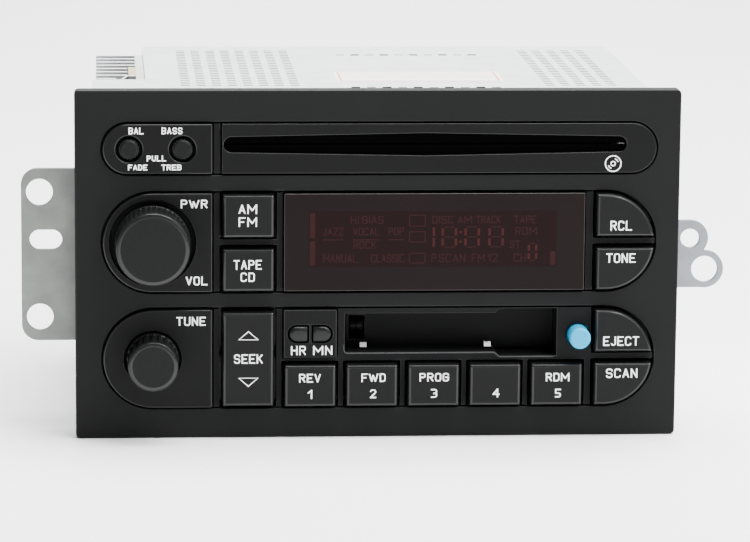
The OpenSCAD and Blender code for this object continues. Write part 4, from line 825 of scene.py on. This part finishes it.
BOX_LEFT, BOX_RIGHT, BOX_HEIGHTS = 10.0, 15.1, [(69.8, 73.4), (64.6, 68.0), (57.7, 60.9)]
RULE_Z, RULES = 65.4, [(-18.0, 6.7), (-8.3, 8.6), (3.2, 5.0)]
field = polyline((FIELD_LEFT, FIELD_Z), (FIELD_RIGHT, FIELD_Z))
draw("ghost_field", [field], ON_LENS, "chassis", FIELD_HIGH, segment_field, film=FIELD_FILM)
ghosts = [s for word in GHOST_WORDS for s in pen_strokes(*word, FINE_NIB)]
ghosts += [polyline((BOX_LEFT, low), (BOX_RIGHT, low), (BOX_RIGHT, high), (BOX_LEFT, high), (BOX_LEFT, low))
           for low, high in BOX_HEIGHTS]
ghosts += [polyline((x, RULE_Z), (x + wide, RULE_Z)) for x, wide in RULES]
print(len(GHOST_WORDS), "words and", len(BOX_HEIGHTS), "boxes, in", len(ghosts), "strokes")

# %% [markdown]
# A figure's lying bars are thin ghosts like the words, and its standing bars are wider and redder, so
# they are a second drawing with a broader nib. The hour's first figure has only its two right bars,
# and two dots stand between hours and minutes.

# %% Figures
FIGURES = [(20.8, 62.9, 4.3, 6.6), (28.2, 62.9, 4.3, 6.6), (36.0, 62.9, 4.3, 6.6), (48.9, 58.4, 2.4, 5.6)]
BAR_GAP, BAR_NIB, EDGE_NIB, GHOST_CORNER = 0.45, 0.85, 1.7, 0.2
ONE_X, ONE_HIGH, ONE_LOWS = 17.9, 2.8, (63.1, 66.6)
DOT_X, DOT_HIGH, DOT_LOWS = 26.6, 0.7, (64.3, 67.4)
EDGE_BARS = [(-21.4, 57.0, 65.0), (-21.4, 66.0, 74.2), (56.7, 57.0, 61.4)]


def seven_bars(x, z, width, height):
    """The lying and the standing bars of one figure."""
    half = height / 2
    lying = [polyline((x + BAR_GAP, z + i * half), (x + width - BAR_GAP, z + i * half)) for i in range(3)]
    standing = [polyline((x + side, z + i * half + BAR_GAP), (x + side, z + (i + 1) * half - BAR_GAP))
                for side in (0, width) for i in range(2)]
    return lying, standing


figures = [seven_bars(*figure) for figure in FIGURES]
ghosts += [bar for lying, _ in figures for bar in lying]
draw("ghost_words", ghosts, ON_LENS, "chassis", FINE_NIB, segment_ghost, corner=GHOST_CORNER)
bars = [bar for _, standing in figures for bar in standing]
bars += [polyline((ONE_X, low), (ONE_X, low + ONE_HIGH)) for low in ONE_LOWS]
bars += [polyline((DOT_X, low), (DOT_X, low + DOT_HIGH)) for low in DOT_LOWS]
draw("figure_bars", bars, ON_LENS, "chassis", BAR_NIB, segment_red, corner=0)
edges = [polyline((x, low), (x, high)) for x, low, high in EDGE_BARS]
draw("edge_bars", edges, ON_LENS, "chassis", EDGE_NIB, segment_ghost, corner=0)
print(len(ghosts), "ghost strokes,", len(bars), "bars")

# %% [markdown]
# ## The label on the cover
#
# A paper label lies on the vented cover. It is left bare but for a printed frame and ruled lines. A
# very wide stroke is the paper itself.

# %% Label
LABEL_LEFT, LABEL_RIGHT, LABEL_NEAR, LABEL_FAR = -10.3, 46.0, 55.0, 80.0
PAPER_T, PRINT_T, PRINT_NIB, PRINT_LIFT = 0.16, 0.04, 0.7, 0.08
FRAME_IN, RULE_IN, RULE_STEPS = 1.5, 2, (8, 13, 18)
on_cover = Matrix.Translation((0, FRONT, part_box("top_cover")[1].z))
on_paper = Matrix.Translation((0, 0, PRINT_LIFT * MM)) @ on_cover
middle = (LABEL_NEAR + LABEL_FAR) / 2
paper = polyline((LABEL_LEFT, middle), (LABEL_RIGHT, middle))
draw("label", [paper], on_cover, "chassis", LABEL_FAR - LABEL_NEAR, label_paper, film=PAPER_T)
left, right_end = LABEL_LEFT + FRAME_IN, LABEL_RIGHT - FRAME_IN
near, far = LABEL_NEAR + FRAME_IN, LABEL_FAR - FRAME_IN
rules = [polyline((LABEL_LEFT + RULE_IN, LABEL_NEAR + step), (LABEL_RIGHT - RULE_IN, LABEL_NEAR + step))
         for step in RULE_STEPS]
rules += [polyline((left, near), (right_end, near), (right_end, far), (left, far), (left, near))]
draw("label_rules", rules, on_paper, "chassis", PRINT_NIB, label_red, film=PRINT_T)
print("label", LABEL_RIGHT - LABEL_LEFT, "by", LABEL_FAR - LABEL_NEAR, "mm")

# %% [markdown]
# ## Inside the slot and the cassette mouth
#
# Two strips of black felt close the disc slot to a fine slit and keep dust out of the deck. Along the mouth's
# foot lies a thin strip of much lighter grey: a painted highlight where a rounded lip would catch the light.
# Behind it two springy metal tongues stand on the sleeve's floor and guide a cassette. All are strokes again:
# the lip strip follows the mouth's foot, and the tongues are drawn on edge, so that the nib is the strip's
# thickness and the film its width.

# %% Felt, lip and tongues
PANEL_FACE = front_of("face_panel")
FELT_W, FELT_T, SLIT, FELT_SET = 4.2, 1.0, 0.6, 1.4
SLOT_ENDS, SLOT_Z = (-51.0, 81.2), 96.40
for name, side in (("upper_felt", 1), ("lower_felt", -1)):
    middle = SLOT_Z + side * (SLIT + FELT_W) / 2
    strip = polyline((SLOT_ENDS[0], middle), (SLOT_ENDS[1], middle))
    draw(name, [strip], on_face(PANEL_FACE + FELT_SET), "chassis", FELT_W, felt, film=FELT_T)
LIP_PROUD, LIP_W, LIP_T, LIP_CORNER = 0.12, 0.34, 0.28, 1.2
lip = polyline((-10.93, 30.5), (-10.93, 27.66), (38.34, 27.66), (39.79, 26.21), (57.6, 26.21))
# The lip strip's lighter grey is a painted highlight.
draw("mouth_lip", [lip], on_face(PANEL_FACE - LIP_PROUD), "chassis", LIP_W, lip_highlight_grey,
     corner=LIP_CORNER, film=LIP_T)
TONGUE_T, TONGUE_W, TONGUE_CORNER = 0.3, 2.2, 0.5
ON_EDGE = Matrix(((0, 0, 1), (1, 0, 0), (0, 1, 0))).to_4x4()
tongue = polyline((12.2, 28.3), (9.0, 29.2), (7.8, 30.2), (6.6, 28.4))
for name, x in (("left_tongue", -4.2), ("right_tongue", 36.6)):
    draw(name, [tongue], Matrix.Translation(face(x, 0)) @ ON_EDGE, "chassis", TONGUE_T, plated_steel,
         corner=TONGUE_CORNER, film=TONGUE_W)
print("felt, lip and tongues; the panel lies", round(PANEL_FACE, 2), "mm behind the plate's front")

# %% [markdown]
# A small dark roller sits in the notch at the door's left end and rides with the door. A profile that
# is turned about an axis gives it, with a groove and softened ends.

# %% Door roller
ROLLER_R, GROOVE_R = 1.9, 1.5
ROLLER = [(0, 0), (GROOVE_R, 0), (ROLLER_R, 0.4), (ROLLER_R, 1.7), (GROOVE_R, 1.9), (GROOVE_R, 2.3),
          (ROLLER_R, 2.5), (ROLLER_R, 4.2), (GROOVE_R, 4.6), (0, 4.6)]
ROLLER_X, ROLLER_IN, ROLLER_Z, ROLLER_STEPS = -8.4, 1.6, 34.36, 48
SEAM = 0.001 * MM


def turned(name, profile, place, body, finish):
    """A profile of radius and length in millimetres, turned about the drawing's first axis."""
    shape = bmesh.new()
    rows = []
    for step in range(ROLLER_STEPS):
        angle = 2 * math.pi * step / ROLLER_STEPS
        rows.append([shape.verts.new((x * MM, r * MM * math.cos(angle), r * MM * math.sin(angle)))
                     for r, x in profile])
    for row, following in zip(rows, rows[1:] + rows[:1]):
        for i in range(len(profile) - 1):
            shape.faces.new((row[i], row[i + 1], following[i + 1], following[i]))
    bmesh.ops.remove_doubles(shape, verts=shape.verts, dist=SEAM)
    bmesh.ops.recalc_face_normals(shape, faces=shape.faces)
    mesh = bpy.data.meshes.new(name)
    shape.to_mesh(mesh)
    shape.free()
    mesh.materials.append(finish)
    mesh.transform(place)
    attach(add_object(name, mesh), body)
    return mesh


door_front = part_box("cassette_door")[0].y
roller_place = Vector((ROLLER_X * MM, door_front + ROLLER_IN * MM, PLATE_LOW.z + ROLLER_Z * MM))
roller = turned("door_roller", ROLLER, Matrix.Translation(roller_place), "cassette_door", button_black)
print("roller in the door's notch,", len(roller.polygons), "faces")

# %% [markdown]
# ## Screws
#
# Pan-head screws hold the brackets, the cover's lips and the rear panel. One head is a height map on
# rings of points: a dome, less a cross-shaped recess.

# %% Screw head
HEAD_R, HEAD_H, CROSS, ARM = 2.8, 1.3, 1.5, 0.36
DOME_POWER, RECESS_DEPTH, RECESS_SHARE = 3.2, 1.1, 0.62
HEAD_RINGS, HEAD_SPOKES = 22, 96


def head_height(x, y, share):
    """The head's height in millimetres at a point that lies that share of the radius from the axis."""
    dome = HEAD_H * math.sqrt(max(0.0, 1 - share ** DOME_POWER))
    in_cross = min(abs(x), abs(y)) < ARM and max(abs(x), abs(y)) < CROSS
    recess = max(0.0, 1.0 - share / RECESS_SHARE) if in_cross else 0.0
    return dome - RECESS_DEPTH * recess ** 0.5


head_shape = bmesh.new()
head_rows = []
for ring_share in [i / HEAD_RINGS for i in range(HEAD_RINGS + 1)]:
    row = []
    for spoke in range(HEAD_SPOKES):
        angle = 2 * math.pi * spoke / HEAD_SPOKES
        x, y = HEAD_R * ring_share * math.cos(angle), HEAD_R * ring_share * math.sin(angle)
        row.append(head_shape.verts.new(Vector((x, y, head_height(x, y, ring_share))) * MM))
    head_rows.append(row)
for inner, outer in zip(head_rows, head_rows[1:]):
    for i in range(HEAD_SPOKES):
        following = (i + 1) % HEAD_SPOKES
        head_shape.faces.new((inner[i], outer[i], outer[following], inner[following]))
bmesh.ops.remove_doubles(head_shape, verts=head_rows[0], dist=SEAM)
head_mesh = bpy.data.meshes.new("screw_head")
head_shape.to_mesh(head_mesh)
head_shape.free()
screw_head = add_object("screw_head", head_mesh)
print("screw head", len(head_mesh.polygons), "faces")

# %% [markdown]
# Geometry Nodes put a copy of the head on every point, turn it to the axis that is stored on the point,
# and spin it by chance, as screws never end up in line. The chance has a fixed seed, so each run gives
# the same screws.

# %% Heads on points
SPIN_SEED = 0
head_tree, HEADS = node_tree("screw_heads", {"Head": "Object", "Ink": "Material"})
given = tree_node(head_tree, "NodeGroupInput").outputs
axis = tree_node(head_tree, "GeometryNodeInputNamedAttribute", {"data_type": "FLOAT_VECTOR"}, {
    "Name": "axis"})
aim = tree_node(head_tree, "FunctionNodeAlignRotationToVector", {"axis": "Z"}, {"Vector": axis.outputs[0]})
chance = tree_node(head_tree, "FunctionNodeRandomValue", {"data_type": "FLOAT"}, {
    2: 0.0, 3: math.pi, "Seed": SPIN_SEED})
spin = tree_node(head_tree, "FunctionNodeAxisAngleToRotation", {}, {
    "Axis": (0, 0, 1), "Angle": chance.outputs[1]})
stand = tree_node(head_tree, "FunctionNodeRotateRotation", {"rotation_space": "LOCAL"}, {
    "Rotation": aim.outputs[0], "Rotate By": spin.outputs[0]})
model = tree_node(head_tree, "GeometryNodeObjectInfo", {}, {"Object": given["Head"]})
heads = tree_node(head_tree, "GeometryNodeInstanceOnPoints", {}, {
    "Points": given["Geometry"], "Instance": model.outputs["Geometry"], "Rotation": stand.outputs[0]})
end_tree(head_tree, heads.outputs[0], given["Ink"])
print("head inputs", sorted(HEADS))

# %% [markdown]
# The screws' seats come from the solids: the outer sides of the brackets' flanges and of the cover's
# lips, and the rear panel's back. Only their places along those sides are chosen here, as depths
# behind the plate's front and heights above its lower edge.

# %% Screws in their seats
BRACKET_T, LIP_SCREW_Z = 1.5 * MM, 105
SIDE_L, SIDE_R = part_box("left_bracket")[1].x - BRACKET_T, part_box("right_bracket")[0].x + BRACKET_T
LIP_L, LIP_R = (corner.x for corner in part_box("top_cover"))
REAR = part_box("rear_panel")[1].y
LEFTWARD, RIGHTWARD, BACKWARD = Vector((-1, 0, 0)), Vector((1, 0, 0)), Vector((0, 1, 0))
SIDE_SCREWS = [
    (SIDE_L, LEFTWARD, [(34, 40), (34, 76)]), (SIDE_R, RIGHTWARD, [(35, 51.5), (35, 63)]),
    (LIP_R, RIGHTWARD, [(depth, LIP_SCREW_Z) for depth in (30, 86, 138)]),
    (LIP_L, LEFTWARD, [(depth, LIP_SCREW_Z) for depth in (30, 52)]),
]
seats = [(Vector((x, face(0, 0, depth).y, z * MM)), way)
         for x, way, spots in SIDE_SCREWS for depth, z in spots]
seats += [(Vector((x * MM, REAR, z * MM)), BACKWARD) for x in (-68, 85) for z in (11, 102)]
points = bpy.data.meshes.new("screws")
points.from_pydata([place for place, _ in seats], [], [])
ways = points.attributes.new("axis", "FLOAT_VECTOR", "POINT")
ways.data.foreach_set("vector", [v for _, way in seats for v in way])
screws = add_object("screws", points)
setting = screws.modifiers.new("heads", "NODES")
setting.node_group = head_tree
setting[HEADS["Head"]], setting[HEADS["Ink"]] = screw_head, plated_steel
plain_mesh(screws)
bpy.data.objects.remove(screw_head)
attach(screws, "chassis")
print(len(seats), "screws,", len(screws.data.polygons), "faces")

# %% [markdown]
# ## Floor and light
#
# The radio stands on a wide white table, which isn't part of it.

# %% Stage
FLOOR_Z, FLOOR_REACH = PLATE_LOW.z - 0.1 * MM, 4
floor_paint = speckled("floor_paint", grey(0.90), grey(0.94), 0.60, 2.0, 0.004)
floor_mesh = bpy.data.meshes.new("floor")
floor_corners = [(x * FLOOR_REACH, y * FLOOR_REACH, FLOOR_Z) for x, y in ((-1, -1), (1, -1), (1, 1), (-1, 1))]
floor_mesh.from_pydata(floor_corners, [], [(0, 1, 2, 3)])
floor_mesh.materials.append(floor_paint)
add_object("floor", floor_mesh)
print("floor at", round(FLOOR_Z / MM, 2), "mm")

# %% [markdown]
# A broad lamp overhead lights the cover and the table, a weak one behind lifts the cover's far end, and
# one at the upper right shows the face's relief. A small lamp beside it draws the bright lines along
# the rounded edges. The room itself is dim: that is why black plastic looks black.

# %% Lights
LAMPS = {
    "overhead": ((0.25, 0.08, 1.5), (0, 0.05, 0.05), 1.3, 125),
    "from_behind": ((0.1, 1.3, 0.5), (0, 0.05, 0.1), 0.9, 11),
    "upper_right": ((0.85, -0.75, 0.95), (0, 0, 0.06), 1.3, 24),
    "glint": ((0.55, -0.55, 0.95), (0, 0, 0.06), 0.25, 7),
}
ROOM_TINT, ROOM_LIGHT = (0.93, 0.96, 1.0, 1), 0.40
for name, (place, target, size, watts) in LAMPS.items():
    lamp_data = bpy.data.lights.new(name, "AREA")
    lamp_data.shape, lamp_data.size, lamp_data.energy = "SQUARE", size, watts
    lamp = add_object(name, lamp_data)
    lamp.location = place
    lamp.rotation_euler = (Vector(target) - Vector(place)).to_track_quat("-Z", "Y").to_euler()
world = bpy.data.worlds.new("room")
world.use_nodes = True
world.node_tree.nodes["Background"].inputs["Color"].default_value = ROOM_TINT
world.node_tree.nodes["Background"].inputs["Strength"].default_value = ROOM_LIGHT
bpy.context.scene.world = world
print("lights:", list(LAMPS))
